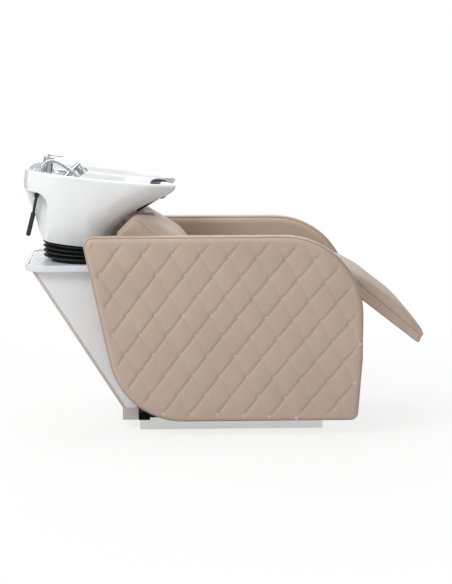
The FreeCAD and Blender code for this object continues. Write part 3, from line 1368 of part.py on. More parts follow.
for item in PARTS:
    shape = item.Shape
    if {"Invalid", "Error"} & set(item.State) or shape.isNull() or not shape.isValid():
        raise RuntimeError(f"{item.Label} has no sound shape")
    shape.exportStep(f"parts/{item.Label}.step")
print(f"{len(PARTS)} sub-parts written")
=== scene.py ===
"""Backwash unit: looks, soft pieces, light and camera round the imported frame. Metres, +Z up."""
import json
import math

import bmesh
import bpy
import numpy as np
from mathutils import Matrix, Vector
from mathutils.bvhtree import BVHTree


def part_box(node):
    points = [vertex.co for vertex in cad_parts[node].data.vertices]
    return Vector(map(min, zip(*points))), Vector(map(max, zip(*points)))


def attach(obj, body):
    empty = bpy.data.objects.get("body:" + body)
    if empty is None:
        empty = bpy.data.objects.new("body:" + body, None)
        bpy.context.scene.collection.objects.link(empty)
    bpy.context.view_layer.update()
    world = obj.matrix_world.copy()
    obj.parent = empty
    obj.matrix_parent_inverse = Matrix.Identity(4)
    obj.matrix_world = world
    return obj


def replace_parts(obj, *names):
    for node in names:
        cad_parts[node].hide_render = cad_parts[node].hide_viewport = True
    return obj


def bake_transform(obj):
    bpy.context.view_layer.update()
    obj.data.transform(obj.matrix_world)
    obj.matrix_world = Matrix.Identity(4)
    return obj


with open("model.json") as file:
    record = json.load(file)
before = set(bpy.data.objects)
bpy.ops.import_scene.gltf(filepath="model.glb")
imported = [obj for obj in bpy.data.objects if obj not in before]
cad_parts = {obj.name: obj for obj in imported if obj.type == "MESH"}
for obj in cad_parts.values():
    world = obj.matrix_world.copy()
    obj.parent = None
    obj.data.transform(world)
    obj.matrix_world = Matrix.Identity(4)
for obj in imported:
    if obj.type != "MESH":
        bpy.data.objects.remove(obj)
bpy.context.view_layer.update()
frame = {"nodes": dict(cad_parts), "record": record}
NODES = frame["nodes"]
MM = 0.001


# Colours and material nodes
def linear(red, green, blue):
    """A colour given as 0 to 255, as the shader takes it."""
    values = [channel / 255 for channel in (red, green, blue)]
    return tuple(v / 12.92 if v <= 0.04045 else ((v + 0.055) / 1.055) ** 2.4 for v in values) + (1.0,)


def shaded(colour, factor):
    """The same colour, lighter or darker."""
    return tuple(min(channel * factor, 1.0) for channel in colour[:3]) + (1.0,)


class Looks:
    """One procedural material: a principled shader with helpers for noise, bump and mixing."""

    def __init__(self, name, colour, rough=0.5, metal=0.0):
        self.material = bpy.data.materials.new(name)
        self.material.use_nodes = True
        self.tree = self.material.node_tree
        self.shader = self.tree.nodes["Principled BSDF"]
        self.set("Base Color", colour)
        self.set("Roughness", rough)
        self.set("Metallic", metal)
        self.coordinates = self.node("ShaderNodeTexCoord").outputs["Object"]

    def set(self, socket, value):
        self.shader.inputs[socket].default_value = value

    def node(self, kind, **values):
        item = self.tree.nodes.new(kind)
        for name, value in values.items():
            if name in item.inputs:
                item.inputs[name].default_value = value
            else:
                setattr(item, name, value)
        return item

    def link(self, start, end):
        self.tree.links.new(start, end)
        return end

    def scaled(self, x, y, z):
        mapping = self.node("ShaderNodeMapping")
        mapping.inputs["Scale"].default_value = (x, y, z)
        self.link(self.coordinates, mapping.inputs["Vector"])
        return mapping.outputs["Vector"]

    def noise(self, scale, detail=3.0, rough=0.55, vector=None):
        item = self.node("ShaderNodeTexNoise", Scale=scale, Detail=detail, Roughness=rough)
        self.link(vector or self.coordinates, item.inputs["Vector"])
        return item.outputs["Fac"]

    def cells(self, scale):
        item = self.node("ShaderNodeTexVoronoi", Scale=scale)
        self.link(self.coordinates, item.inputs["Vector"])
        return item.outputs["Distance"]

    def ramp(self, source, low, high, start=0.0, end=1.0):
        item = self.node("ShaderNodeMapRange")
        for socket, value in (("From Min", start), ("From Max", end), ("To Min", low), ("To Max", high)):
            item.inputs[socket].default_value = value
        self.link(source, item.inputs["Value"])
        return item.outputs["Result"]

    def tint(self, source, dark, light, start=0.3, end=0.7):
        """Colour that moves between two tones with a texture."""
        item = self.node("ShaderNodeValToRGB")
        item.color_ramp.elements[0].position = start
        item.color_ramp.elements[0].color = dark
        item.color_ramp.elements[1].position = end
        item.color_ramp.elements[1].color = light
        self.link(source, item.inputs["Fac"])
        self.link(item.outputs["Color"], self.shader.inputs["Base Color"])

    def roughness(self, source, low, high, start=0.3, end=0.7):
        self.link(self.ramp(source, low, high, start, end), self.shader.inputs["Roughness"])

    def bump(self, source, distance, strength=0.5, base=None):
        item = self.node("ShaderNodeBump", Strength=strength, Distance=distance)
        self.link(source, item.inputs["Height"])
        if base:
            self.link(base, item.inputs["Normal"])
        self.link(item.outputs["Normal"], self.shader.inputs["Normal"])
        return item.outputs["Normal"]


def leathercloth(name, colour, grain=900.0):
    """Coated upholstery cloth: fine pebbled grain, soft creases and a faint change of tone."""
    look = Looks(name, colour, 0.5)
    look.tint(look.noise(7.0, 4.0), shaded(colour, 0.955), shaded(colour, 1.035))
    look.roughness(look.noise(60.0), 0.54, 0.66)
    pores = look.bump(look.cells(grain), 0.00035, 0.32)
    creases = look.bump(look.noise(150.0, 5.0, 0.65), 0.0009, 0.16, pores)
    look.bump(look.noise(28.0, 2.0), 0.0025, 0.12, creases)
    look.set("Specular IOR Level", 0.28)
    look.set("Sheen Weight", 0.05)
    look.set("Sheen Roughness", 0.4)
    return look.material


def metal(name, colour, rough, brushed=(1.0, 1.0, 1.0), depth=0.0):
    """Plated or brushed metal with a little wear in its gloss."""
    look = Looks(name, colour, rough, 1.0)
    streaks = look.noise(40.0, 4.0, 0.6, look.scaled(*brushed))
    look.roughness(streaks, rough * 0.75, rough * 1.3)
    if depth:
        look.bump(streaks, depth, 0.25)
    return look.material


def coated(name, colour, rough, grain=0.0, size=600.0, variation=0.03):
    """Paint, moulded plastic or laminate: faint mottle, and orange peel or texture where asked."""
    look = Looks(name, colour, rough)
    look.tint(look.noise(5.0, 3.0), shaded(colour, 1 - variation), shaded(colour, 1 + variation))
    look.roughness(look.noise(90.0), rough * 0.85, rough * 1.15)
    if grain:
        look.bump(look.noise(size, 3.0), grain, 0.25)
    return look.material


def glazed(name, colour):
    """White glaze: clear coat over a body with barely visible ripples."""
    look = Looks(name, colour, 0.14)
    look.tint(look.noise(3.0, 2.0), shaded(colour, 0.985), shaded(colour, 1.01))
    look.roughness(look.noise(24.0), 0.10, 0.18)
    look.bump(look.noise(9.0, 2.0), 0.0012, 0.05)
    look.set("Coat Weight", 0.5)
    look.set("Coat Roughness", 0.05)
    return look.material


def gel(name, colour):
    """Soft black gel: dull skin with a faint cloudiness and a fine even texture."""
    look = Looks(name, colour, 0.6)
    look.tint(look.noise(18.0, 3.0), shaded(colour, 0.85), shaded(colour, 1.2))
    look.roughness(look.noise(70.0), 0.55, 0.70)
    look.bump(look.noise(420.0, 2.0), 0.0003, 0.3)
    look.set("Specular IOR Level", 0.25)
    return look.material


def timber(name, colour):
    """Raw plywood: long grain, thin plies and a dry surface."""
    look = Looks(name, colour, 0.7)
    grain = look.noise(30.0, 6.0, 0.65, look.scaled(1.0, 14.0, 14.0))
    look.tint(grain, shaded(colour, 0.78), shaded(colour, 1.12), 0.35, 0.68)
    look.bump(grain, 0.0006, 0.3)
    return look.material


LOOKS = {
    "upholstery": leathercloth("upholstery", linear(187, 167, 152)),
    "seam": leathercloth("upholstery_seam", linear(164, 143, 130), 1400.0),
    "stud": coated("stud", linear(190, 181, 181), 0.36, 0.0001),
    "plywood": timber("plywood", linear(190, 154, 112)),
    "silver_strip": metal("silver_strip", linear(214, 213, 212), 0.32, (1.0, 30.0, 30.0), 0.0002),
    "black_steel": coated("black_steel", linear(30, 30, 31), 0.42, 0.0002, 900.0, 0.08),
    "zinc_steel": metal("zinc_steel", linear(170, 170, 172), 0.34, (8.0, 8.0, 8.0), 0.0001),
    "white_panel": coated("white_panel", linear(228, 228, 229), 0.36, 0.00008, 300.0, 0.012),
    "grey_panel": coated("grey_panel", linear(196, 187, 179), 0.40, 0.00008, 300.0, 0.02),
    "tray_plastic": coated("tray_plastic", linear(220, 224, 229), 0.30, 0.00003, 60.0, 0.012),
    "black_rubber": coated("black_rubber", linear(22, 22, 23), 0.48, 0.0003, 500.0, 0.10),
    "white_ceramic": glazed("white_ceramic", linear(236, 238, 238)),
    "black_gel": gel("black_gel", linear(26, 26, 29)),
    "chrome": metal("chrome", linear(182, 184, 188), 0.07, (6.0, 6.0, 6.0)),
    "chrome_hose": metal("chrome_hose", linear(178, 180, 184), 0.14, (9.0, 9.0, 9.0)),
    "grey_plastic": coated("grey_plastic", linear(92, 93, 96), 0.45, 0.0002, 700.0, 0.05),
    "black_plastic": coated("black_plastic", linear(22, 22, 23), 0.38, 0.0002, 800.0, 0.08),
}
SLOTS = {entry["node"]: entry["material_slot"] for entry in frame["record"]["subparts"]}
for node, item in NODES.items():
    item.data.materials.clear()
    item.data.materials.append(LOOKS[SLOTS[node]])
NODES["lever_pin"].data.materials[0] = LOOKS["black_steel"]


# Mesh helpers
SMOOTHING = 0.5
FLAT_ANGLE, SHARP_ANGLE = math.radians(1), math.radians(35)
WELT_SIDES = 8


def piece(name, points, faces, look, smooth=True):
    """A mesh object in the row frame with one material."""
    mesh = bpy.data.meshes.new(name)
    mesh.from_pydata([tuple(map(float, point)) for point in points], [], faces)
    mesh.validate()
    item = bpy.data.objects.new(name, mesh)
    bpy.context.scene.collection.objects.link(item)
    mesh.materials.append(LOOKS[look])
    if smooth:
        mesh.shade_smooth()
    return item


def grid_faces(rows, columns, wrap=False):
    """Quads of a grid of points stored row by row."""
    faces = []
    for row in range(rows - 1):
        for column in range(columns if wrap else columns - 1):
            right = (column + 1) % columns
            faces.append((row * columns + column, row * columns + right,
                          (row + 1) * columns + right, (row + 1) * columns + column))
    return faces


def closing_faces(rows, columns):
    """Quads from the last row of a wrapped grid back to its first."""
    last = (rows - 1) * columns
    return [(last + k, last + (k + 1) % columns, (k + 1) % columns, k) for k in range(columns)]


def evened(line, step):
    """The points of a closed line, spaced evenly."""
    closed = np.vstack([line, line[:1]])
    travelled = np.concatenate([[0], np.cumsum(np.linalg.norm(np.diff(closed, axis=0), axis=1))])
    stations = np.linspace(0, travelled[-1], int(travelled[-1] / step), endpoint=False)
    return np.stack([np.interp(stations, travelled, places) for places in closed.T], axis=1)


def modified(item, kind, **values):
    """Adds one modifier and applies it."""
    modifier = item.modifiers.new(kind, kind)
    for name, value in values.items():
        setattr(modifier, name, value)
    return applied(item)


def applied(item):
    """The object's mesh with all its modifiers worked in."""
    graph = bpy.context.evaluated_depsgraph_get()
    mesh = bpy.data.meshes.new_from_object(item.evaluated_get(graph))
    item.modifiers.clear()
    old = item.data
    item.data = mesh
    bpy.data.meshes.remove(old)
    return item


def copied(node, name, look):
    """A copy of a CAD node's mesh as a new piece."""
    item = bpy.data.objects.new(name, NODES[node].data.copy())
    bpy.context.scene.collection.objects.link(item)
    item.data.materials.clear()
    item.data.materials.append(LOOKS[look])
    return welded(item, 1e-6)


def welded(item, distance):
    """Joins points that fall together and turns all faces outward."""
    mesh = bmesh.new()
    mesh.from_mesh(item.data)
    bmesh.ops.remove_doubles(mesh, verts=mesh.verts, dist=distance)
    bmesh.ops.recalc_face_normals(mesh, faces=mesh.faces)
    mesh.to_mesh(item.data)
    mesh.free()
    return item


def coordinates(item):
    """Vertex places as an array."""
    flat = np.empty(len(item.data.vertices) * 3)
    item.data.vertices.foreach_get("co", flat)
    return flat.reshape(-1, 3)


def placed(item, points):
    """Sets the vertex places from an array."""
    item.data.vertices.foreach_set("co", np.asarray(points, float).ravel())
    item.data.update()
    return item


def normals(item):
    """Vertex normals as an array."""
    flat = np.empty(len(item.data.vertices) * 3)
    item.data.vertex_normals.foreach_get("vector", flat)
    return flat.reshape(-1, 3)


def remeshed(item, voxel, rounds):
    """Evens the mesh out to one cell size and rounds its edges."""
    modified(item, "REMESH", mode="VOXEL", voxel_size=voxel)
    modified(item, "SMOOTH", factor=SMOOTHING, iterations=rounds)
    item.data.shade_smooth()
    return item


def softened(node, name, voxel, rounds, body):
    """Stands for a CAD node, with its edges rounded as cast, moulded or glazed edges are."""
    item = remeshed(copied(node, name, SLOTS[node]), voxel, rounds)
    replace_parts(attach(item, body), node)
    return item


def bevelled(node, name, width, body):
    """Stands for a board or plate, with its sharp edges broken."""
    item = copied(node, name, SLOTS[node])
    flat = bmesh.new()
    flat.from_mesh(item.data)
    bmesh.ops.dissolve_limit(flat, angle_limit=FLAT_ANGLE, verts=flat.verts, edges=flat.edges)
    flat.to_mesh(item.data)
    flat.free()
    modified(item, "BEVEL", width=width, segments=3, limit_method="ANGLE", angle_limit=SHARP_ANGLE)
    modified(item, "WEIGHTED_NORMAL")
    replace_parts(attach(item, body), node)
    return item


def tube(name, path, radii, look, sides=12, closed=False):
    """A round tube along a path; radii gives one radius for each point."""
    path = np.asarray(path, float)
    count = len(path)
    ahead = np.roll(path, -1, axis=0) - np.roll(path, 1, axis=0) if closed else np.gradient(path, axis=0)
    ahead /= np.linalg.norm(ahead, axis=1)[:, None]
    side = np.cross(ahead[0], (0.0, 0.0, 1.0))
    if np.linalg.norm(side) < 0.1:
        side = np.cross(ahead[0], (0.0, 1.0, 0.0))
    points = []
    turns = np.linspace(0, 2 * math.pi, sides, endpoint=False)
    for index in range(count):
        side = side - ahead[index] * np.dot(side, ahead[index])
        side /= np.linalg.norm(side)
        up = np.cross(ahead[index], side)
        radius = radii[index] if np.ndim(radii) else radii
        points.extend(path[index] + radius * (np.cos(turn) * side + np.sin(turn) * up) for turn in turns)
    faces = grid_faces(count, sides, True)
    if closed:
        faces += closing_faces(count, sides)
    else:
        faces += [tuple(reversed(range(sides))), tuple(range((count - 1) * sides, count * sides))]
    return piece(name, points, faces, look)


def smoothstep(values, low, high):
    """Eased step from 0 to 1."""
    share = np.clip((values - low) / (high - low), 0, 1)
    return share * share * (3 - 2 * share)


# Camera, light and floor
def camera():
    """The photograph's view: a long lens a little above and to the rear of the chair's side."""
    azimuth, elevation, distance = math.radians(-2.3), math.radians(10.0), 6.9
    aim = Vector((-0.013, 0.0, 0.5))
    back = Vector((math.sin(azimuth) * math.cos(elevation), -math.cos(azimuth) * math.cos(elevation),
                   math.sin(elevation)))
    data = bpy.data.cameras.new("camera")
    data.sensor_fit = "VERTICAL"
    data.sensor_height = 36.0
    data.lens = 107.9
    item = bpy.data.objects.new("camera", data)
    bpy.context.scene.collection.objects.link(item)
    item.location = aim + back * distance
    item.rotation_euler = (aim - item.location).to_track_quat("-Z", "Y").to_euler()
    bpy.context.scene.camera = item


def lamp(name, place, aim, size, power):
    """A large soft area lamp."""
    data = bpy.data.lights.new(name, "AREA")
    data.shape = "RECTANGLE"
    data.size, data.size_y = size
    data.energy = power
    item = bpy.data.objects.new(name, data)
    bpy.context.scene.collection.objects.link(item)
    item.location = place
    item.rotation_euler = (Vector(aim) - Vector(place)).to_track_quat("-Z", "Y").to_euler()


def straight_rays(tree):
    """One for what the camera sees, straight or through metal and glass; nought for light on matt pieces."""
    path = tree.nodes.new("ShaderNodeLightPath")
    total = path.outputs["Is Camera Ray"]
    for label in ("Is Glossy Ray", "Is Transmission Ray"):
        add = tree.nodes.new("ShaderNodeMath")
        add.operation = "ADD"
        add.use_clamp = True
        tree.links.new(total, add.inputs[0])
        tree.links.new(path.outputs[label], add.inputs[1])
        total = add.outputs[0]
    return total


def card(name, turn, distance, width):
    """Dark upright board beside the set, which only polished surfaces show; turn counts from the camera."""
    middle = np.array((math.sin(turn), -math.cos(turn))) * distance
    side = np.array((math.cos(turn), math.sin(turn))) * width / 2
    low, high = middle - side, middle + side
    board = piece(name, [(*low, 0.2), (*high, 0.2), (*high, 3.0), (*low, 3.0)], [(0, 1, 2, 3)], "card", False)
    board.visible_camera = board.visible_diffuse = board.visible_shadow = False


def backdrop():
    """Pale floor and white surroundings for the camera and for reflections."""
    scene = bpy.context.scene
    scene.view_settings.view_transform = "Standard"
    world = bpy.data.worlds.new("studio")
    scene.world = world
    world.use_nodes = True
    tree = world.node_tree
    shade = tree.nodes["Background"]
    level = tree.nodes.new("ShaderNodeMapRange")
    level.inputs["To Min"].default_value = 0.42
    level.inputs["To Max"].default_value = 1.0
    tree.links.new(straight_rays(tree), level.inputs["Value"])
    tree.links.new(level.outputs["Result"], shade.inputs["Strength"])
    shade.inputs["Color"].default_value = (1.0, 1.0, 1.0, 1.0)

    look = Looks("floor", linear(244, 244, 244), 0.9)
    glow = look.node("ShaderNodeEmission", Color=(1.0, 1.0, 1.0, 1.0), Strength=1.0)
    mix = look.node("ShaderNodeMixShader")
    away = look.node("ShaderNodeVectorMath", operation="LENGTH")
    look.link(look.coordinates, away.inputs[0])
    share = look.node("ShaderNodeMath", operation="MULTIPLY")
    look.link(straight_rays(look.tree), share.inputs[0])
    look.link(look.ramp(away.outputs["Value"], 0.8, 1.0, 0.8, 2.2), share.inputs[1])
    look.link(share.outputs["Value"], mix.inputs["Fac"])
    look.link(look.shader.outputs["BSDF"], mix.inputs[1])
    look.link(glow.outputs["Emission"], mix.inputs[2])
    look.link(mix.outputs["Shader"], look.tree.nodes["Material Output"].inputs["Surface"])
    LOOKS["floor"] = look.material
    reach = 9.0
    corners = [(-reach, -reach, 0), (reach, -reach, 0), (reach, reach, 0), (-reach, reach, 0)]
    floor = piece("floor", corners, [(0, 1, 2, 3)], "floor", False)

    lamp("key", (-3.0, -2.4, 3.4), (-0.1, -0.2, 0.5), (1.8, 1.8), 105)
    lamp("fill", (3.0, -3.8, 1.8), (0.1, 0, 0.4), (2.6, 2.0), 26)
    lamp("top", (0.0, 0.6, 4.2), (0, 0, 0.5), (3.0, 2.4), 45)
    lamp("rear", (0.4, 3.8, 2.4), (0, 0, 0.5), (2.6, 2.0), 50)
    LOOKS["card"] = coated("card", linear(12, 12, 13), 0.9)
    for name, turn, width in (("card_left", -24, 0.7), ("card_rear", -128, 1.4), ("card_right", 112, 1.3)):
        card(name, math.radians(turn), 3.0, width)


# Hose; its route is in millimetres in the basin's level frame
TILT = math.radians(6.4)


def basin_point(x, y, z):
    """A point of the basin's level frame, in millimetres, as a place in the room."""
    return Vector((-0.560 + (x * math.cos(TILT) + z * math.sin(TILT)) * MM, y * MM,
                   0.690 + (z * math.cos(TILT) - x * math.sin(TILT)) * MM))


HOSE_ROUTE = [(-201, -50, 246), (-201, -50, 320), (-128, -50, 320), (-10.05, -40, 235), (-40.05, -10, 150),
              (-94.47, 20, 125), (-140.2, 30, 221.6), (-119.75, 30, 243.54)]
HOSE_RADIUS, RIB_DEPTH, RIB_PITCH = 0.0065, 0.00045, 0.0034


def hose():
    """Wound chrome hose from the deck bush, over beside the tap, down into the bowl and up to the handset."""
    data = bpy.data.curves.new("hose_line", "CURVE")
    data.dimensions = "3D"
    data.resolution_u = 48
    line = data.splines.new("NURBS")
    line.points.add(len(HOSE_ROUTE) - 1)
    for point, corner in zip(line.points, HOSE_ROUTE):
        point.co = (*basin_point(*corner), 1.0)
    line.order_u = 3
    line.use_endpoint_u = True
    guide = bpy.data.objects.new("hose_line", data)
    bpy.context.scene.collection.objects.link(guide)
    mesh = bpy.data.meshes.new_from_object(guide.evaluated_get(bpy.context.evaluated_depsgraph_get()))
    path = np.array([vertex.co for vertex in mesh.vertices])
    bpy.data.objects.remove(guide)
    steps = np.linalg.norm(np.diff(path, axis=0), axis=1)
    travelled = np.concatenate([[0], np.cumsum(steps)])
    length = travelled[-1]
    stations = np.arange(0, length, RIB_PITCH / 4)
    fine = np.stack([np.interp(stations, travelled, path[:, axis]) for axis in range(3)], axis=1)
    ribs = HOSE_RADIUS - RIB_DEPTH * (0.5 + 0.5 * np.cos(2 * math.pi * stations / RIB_PITCH))
    item = tube("shower_hose_wound", fine, ribs, "chrome_hose", 14)
    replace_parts(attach(item, "basin_unit"), "shower_hose")


camera()
backdrop()
hose()


# Arms
def round_outline(corners, step):
    """Closed line of points through rounded corners (x, z, radius), in millimetres."""
    count = len(corners)
    base = [np.array(corner[:2], float) for corner in corners]
    line = []
    for index, (*_, radius) in enumerate(corners):
        here = base[index]
        back, ahead = base[index - 1] - here, base[(index + 1) % count] - here
        back, ahead = back / np.linalg.norm(back), ahead / np.linalg.norm(ahead)
        half = math.acos(np.clip(np.dot(back, ahead), -1, 1)) / 2
        reach = radius / math.tan(half)
        middle = (back + ahead) / np.linalg.norm(back + ahead)
        centre = here + middle * (radius / math.sin(half))
        start, end = here + back * reach - centre, here + ahead * reach - centre
        first = math.atan2(start[1], start[0])
        sweep = (math.atan2(end[1], end[0]) - first + math.pi) % (2 * math.pi) - math.pi
        for share in np.linspace(0, 1, max(4, int(abs(sweep) * radius / step))):
            turn = first + sweep * share
            line.append(centre + radius * np.array((math.cos(turn), math.sin(turn))))
    return evened(np.array(line), step)


def outward(line):
    """Outward normals of a closed line of points."""
    ahead = np.roll(line, -1, axis=0) - np.roll(line, 1, axis=0)
    side = np.stack([ahead[:, 1], -ahead[:, 0]], axis=1)
    side /= np.linalg.norm(side, axis=1)[:, None]
    middle = line.mean(axis=0)
    return side if np.sum(side * (line - middle)) > 0 else -side


def edge_distance(points, line):
    """Distance of each point from a closed line."""
    start, end = line, np.roll(line, -1, axis=0)
    run = end - start
    best = np.full(len(points), np.inf)
    for low, along in zip(start, run):
        share = np.clip(((points - low) @ along) / max(along @ along, 1e-9), 0, 1)
        best = np.minimum(best, np.hypot(*(points - low - share[:, None] * along).T))
    return best


HEEL_X = -570 + math.tan(math.radians(12)) * (767 - 52)
ARM_CORNERS = [(-570, 767, 38), (HEEL_X, 52, 290), (480, 52, 30), (497, 290, 400), (497, 767, 306)]
ARM_LINE = round_outline(ARM_CORNERS, 6.0)
ARM_INNER, ARM_LINED, ARM_CORED, ARM_OUTER = 250.0, 268.0, 313.0, 335.0
ARM_SEAM = 7.0
QUILT_WIDTH, QUILT_HEIGHT = 107.0, 152.5
QUILT_CORNER = (-442.6, 702.0)
QUILT_NARROWS, QUILT_LEANS, QUILT_SAG = 9.35e-5, 0.0354, 5.0e-5
QUILT_CELLS, LINING_CELLS = (330, 220), (90, 60)
EDGE_ROLL = 19.0
ARM_WELT = 0.0012
STUD_PROFILE = [(0.2, 3.4), (3.6, 3.2), (6.0, 2.5), (7.2, 1.2), (7.4, -1.5), (5.2, -3.0)]
STUD_MARGIN = 6.0


def quilt_sag(x):
    """How far the quilting hangs below its level rows towards the front."""
    return QUILT_SAG * np.maximum(x - QUILT_CORNER[0], 0) ** 2


def lattice(x, z):
    """Place in the diamond pattern: whole numbers lie on the sewn lines of the two directions."""
    level = z + quilt_sag(x) - QUILT_CORNER[1]
    along = (x - QUILT_CORNER[0] - QUILT_LEANS * level) / (QUILT_WIDTH * (1 + QUILT_NARROWS * level))
    up = level / QUILT_HEIGHT
    return along + up, along - up


def quilted(x, z, edge):
    """Height of the padding, 0 to 1, between the sewn lines."""
    first, second = lattice(x, z)
    spacing = QUILT_WIDTH * math.sin(math.atan2(QUILT_HEIGHT, QUILT_WIDTH))
    drawn = np.zeros_like(x)
    crown = np.ones_like(x)
    for place, depth, width in ((first, 0.13, 10.0), (second, 0.25, 6.0)):
        away = np.abs(place - np.round(place))
        drawn += depth * np.exp(-((away * spacing / width) ** 1.3))
        crown *= np.sin(math.pi * away)
    near = np.hypot(first - np.round(first), second - np.round(second)) * spacing
    drawn += 0.10 * np.exp(-((near / 13.0) ** 2)) - 0.08 * crown
    return 0.94 - drawn * smoothstep(edge, 4.0, 42.0)


def rolled(edge):
    """Share of the full padding at a distance from the seam, over the rolled edge."""
    return 0.06 + 0.94 * np.sqrt(np.clip(1 - (1 - np.clip(edge / EDGE_ROLL, 0, 1)) ** 2, 0, 1))


def arm_panel(name, side, seat, face, columns, rows, pattern):
    """A padded panel on the arm's core: rolled edges, and quilting where a pattern is given."""
    line = ARM_LINE - outward(ARM_LINE) * ARM_SEAM
    left, right = line[:, 0].min(), line[:, 0].max()
    share = 0.5 - 0.5 * np.cos(np.linspace(0.02, 1, columns) * math.pi)
    stations = left + (right - left) * (0.25 * share + 0.75 * np.linspace(0.0005, 0.9995, columns))
    points = []
    for x in stations:
        start, end = line, np.roll(line, -1, axis=0)
        crossing = (start[:, 0] - x) * (end[:, 0] - x) <= 0
        run = end[crossing] - start[crossing]
        safe = np.where(np.abs(run[:, 0]) < 1e-9, 1e-9, run[:, 0])
        heights = start[crossing][:, 1] + run[:, 1] * np.clip((x - start[crossing][:, 0]) / safe, 0, 1)
        spread = np.linspace(0, 1, rows)
        spread = 0.2 * (0.5 - 0.5 * np.cos(spread * math.pi)) + 0.8 * spread
        points.extend((x, height) for height in heights.min() + (heights.max() - heights.min()) * spread)
    points = np.array(points)
    edge = edge_distance(points, line)
    height = rolled(edge)
    if pattern:
        height = height * quilted(points[:, 0], points[:, 1], edge)
    else:
        height = height * (1 - 0.06 * (1 - smoothstep(edge, 20, 160)))
    depth = seat + (face - seat) * height
    front = np.stack([points[:, 0], side * depth, points[:, 1]], axis=1) * MM
    rear = np.stack([points[:, 0], np.full(len(points), side * seat), points[:, 1]], axis=1) * MM
    border = list(range(rows)) + [column * rows + rows - 1 for column in range(1, columns)]
    border += [(columns - 1) * rows + row for row in range(rows - 2, -1, -1)]
    border += [column * rows for column in range(columns - 2, 0, -1)]
    faces = grid_faces(columns, rows)
    offset = len(points)
    ring = [offset + index for index in range(len(border))]
    for index, vertex in enumerate(border):
        following = (index + 1) % len(border)
        faces.append((border[following], vertex, ring[index], ring[following]))
    faces.append(tuple(ring))
    return welded(piece(name, np.vstack([front, rear[border]]), faces, "upholstery"), 2e-5)


def arm_border(name, side):
    """Band of cover round the arm's edge, crowned over its padding, with a slightly uneven pull."""
    normal = outward(ARM_LINE)
    along = np.linspace(0, 2 * math.pi, len(ARM_LINE), endpoint=False)
    across = np.linspace(-1, 1, 17)
    rows = []
    for place in across:
        crown = (ARM_SEAM + 0.5) * ((1 - abs(place) ** 3.2) ** (1 / 2.4) - 1)
        ripple = 0.25 * np.sin(along * 23 + 2 * place)
        middle = (ARM_LINED + ARM_CORED) / 2 + place * ((ARM_CORED - ARM_LINED) / 2 - 0.4)
        flat = ARM_LINE + normal * (crown + ripple - 0.4)[:, None]
        rows.append(np.stack([flat[:, 0], np.full(len(flat), side * middle), flat[:, 1]], axis=1))
    inner = ARM_LINE - normal * 14.0
    for middle in (ARM_CORED - 0.4, ARM_LINED + 0.4):
        rows.append(np.stack([inner[:, 0], np.full(len(inner), side * middle), inner[:, 1]], axis=1))
    count = len(ARM_LINE)
    faces = grid_faces(len(rows), count, True) + closing_faces(len(rows), count)
    return welded(piece(name, np.vstack(rows) * MM, faces, "upholstery"), 1e-6)


def stud_places(line):
    """Crossings of the quilting that lie inside the pad, as x and z in millimetres."""
    places = []
    for row in range(-12, 3):
        for column in range(-3, 12):
            level = row * QUILT_HEIGHT / 2
            width = QUILT_WIDTH * (1 + QUILT_NARROWS * level)
            x = QUILT_CORNER[0] + QUILT_LEANS * level + (column + 0.5 * (row % 2)) * width
            places.append((x, QUILT_CORNER[1] + level - quilt_sag(x)))
    places = np.array(places)
    start, end = line, np.roll(line, -1, axis=0)
    inside = np.zeros(len(places), bool)
    for low, high in zip(start, end):
        crosses = (low[1] > places[:, 1]) != (high[1] > places[:, 1])
        with np.errstate(divide="ignore", invalid="ignore"):
            at = low[0] + (places[:, 1] - low[1]) * (high[0] - low[0]) / (high[1] - low[1])
        inside ^= crosses & (places[:, 0] < at)
    return places[inside & (edge_distance(places, line) > STUD_MARGIN)]


def arm_studs(name, side):
    """Small covered buttons, one at each crossing of the quilting."""
    line = ARM_LINE - outward(ARM_LINE) * ARM_SEAM
    places = stud_places(line)
    edge = edge_distance(places, line)
    seat = ARM_CORED + (ARM_OUTER - ARM_CORED) * rolled(edge) * quilted(places[:, 0], places[:, 1], edge)
    sides = 14
    points, faces = [], []
    for (x, z), base in zip(places, seat):
        offset = len(points)
        for radius, height in STUD_PROFILE:
            for turn in np.linspace(0, 2 * math.pi, sides, endpoint=False):
                across, up = radius * math.cos(turn), radius * math.sin(turn)
                points.append((x + across, side * (base + height), z + up))
        walls = grid_faces(len(STUD_PROFILE), sides, True)
        faces += [tuple(offset + index for index in face) for face in walls]
        faces.append(tuple(offset + k for k in range(sides)))
        faces.append(tuple(offset + (len(STUD_PROFILE) - 1) * sides + k for k in reversed(range(sides))))
    return welded(piece(name, np.array(points) * MM, faces, "stud"), 1e-7)


def arms():
    """Both arms: quilted outside, plain lining, border, studs and the welt at the seam."""
    for word, side in (("near", -1), ("far", 1)):
        quilt = arm_panel(f"{word}_arm_quilting", side, ARM_CORED, ARM_OUTER, *QUILT_CELLS, True)
        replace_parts(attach(quilt, "chair"), f"{word}_arm_outer_pad", f"{word}_arm_core")
        lining = arm_panel(f"{word}_arm_lining", side, ARM_LINED, ARM_INNER, *LINING_CELLS, False)
        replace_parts(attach(lining, "chair"), f"{word}_arm_inner_pad")
        border = arm_border(f"{word}_arm_band", side)
        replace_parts(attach(border, "chair"), f"{word}_arm_border")
        line = ARM_LINE - outward(ARM_LINE) * (ARM_SEAM - 1.0)
        for label, depth in (("outer", ARM_CORED + 0.4), ("inner", ARM_LINED - 0.4)):
            path = np.stack([line[:, 0], np.full(len(line), side * depth), line[:, 1]], axis=1) * MM
            welt = tube(f"{word}_arm_{label}_welt", path, ARM_WELT, "seam", WELT_SIDES, True)
            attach(welt, "chair")
        studs = arm_studs(f"{word}_arm_studs", side)
        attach(studs, "chair")


arms()


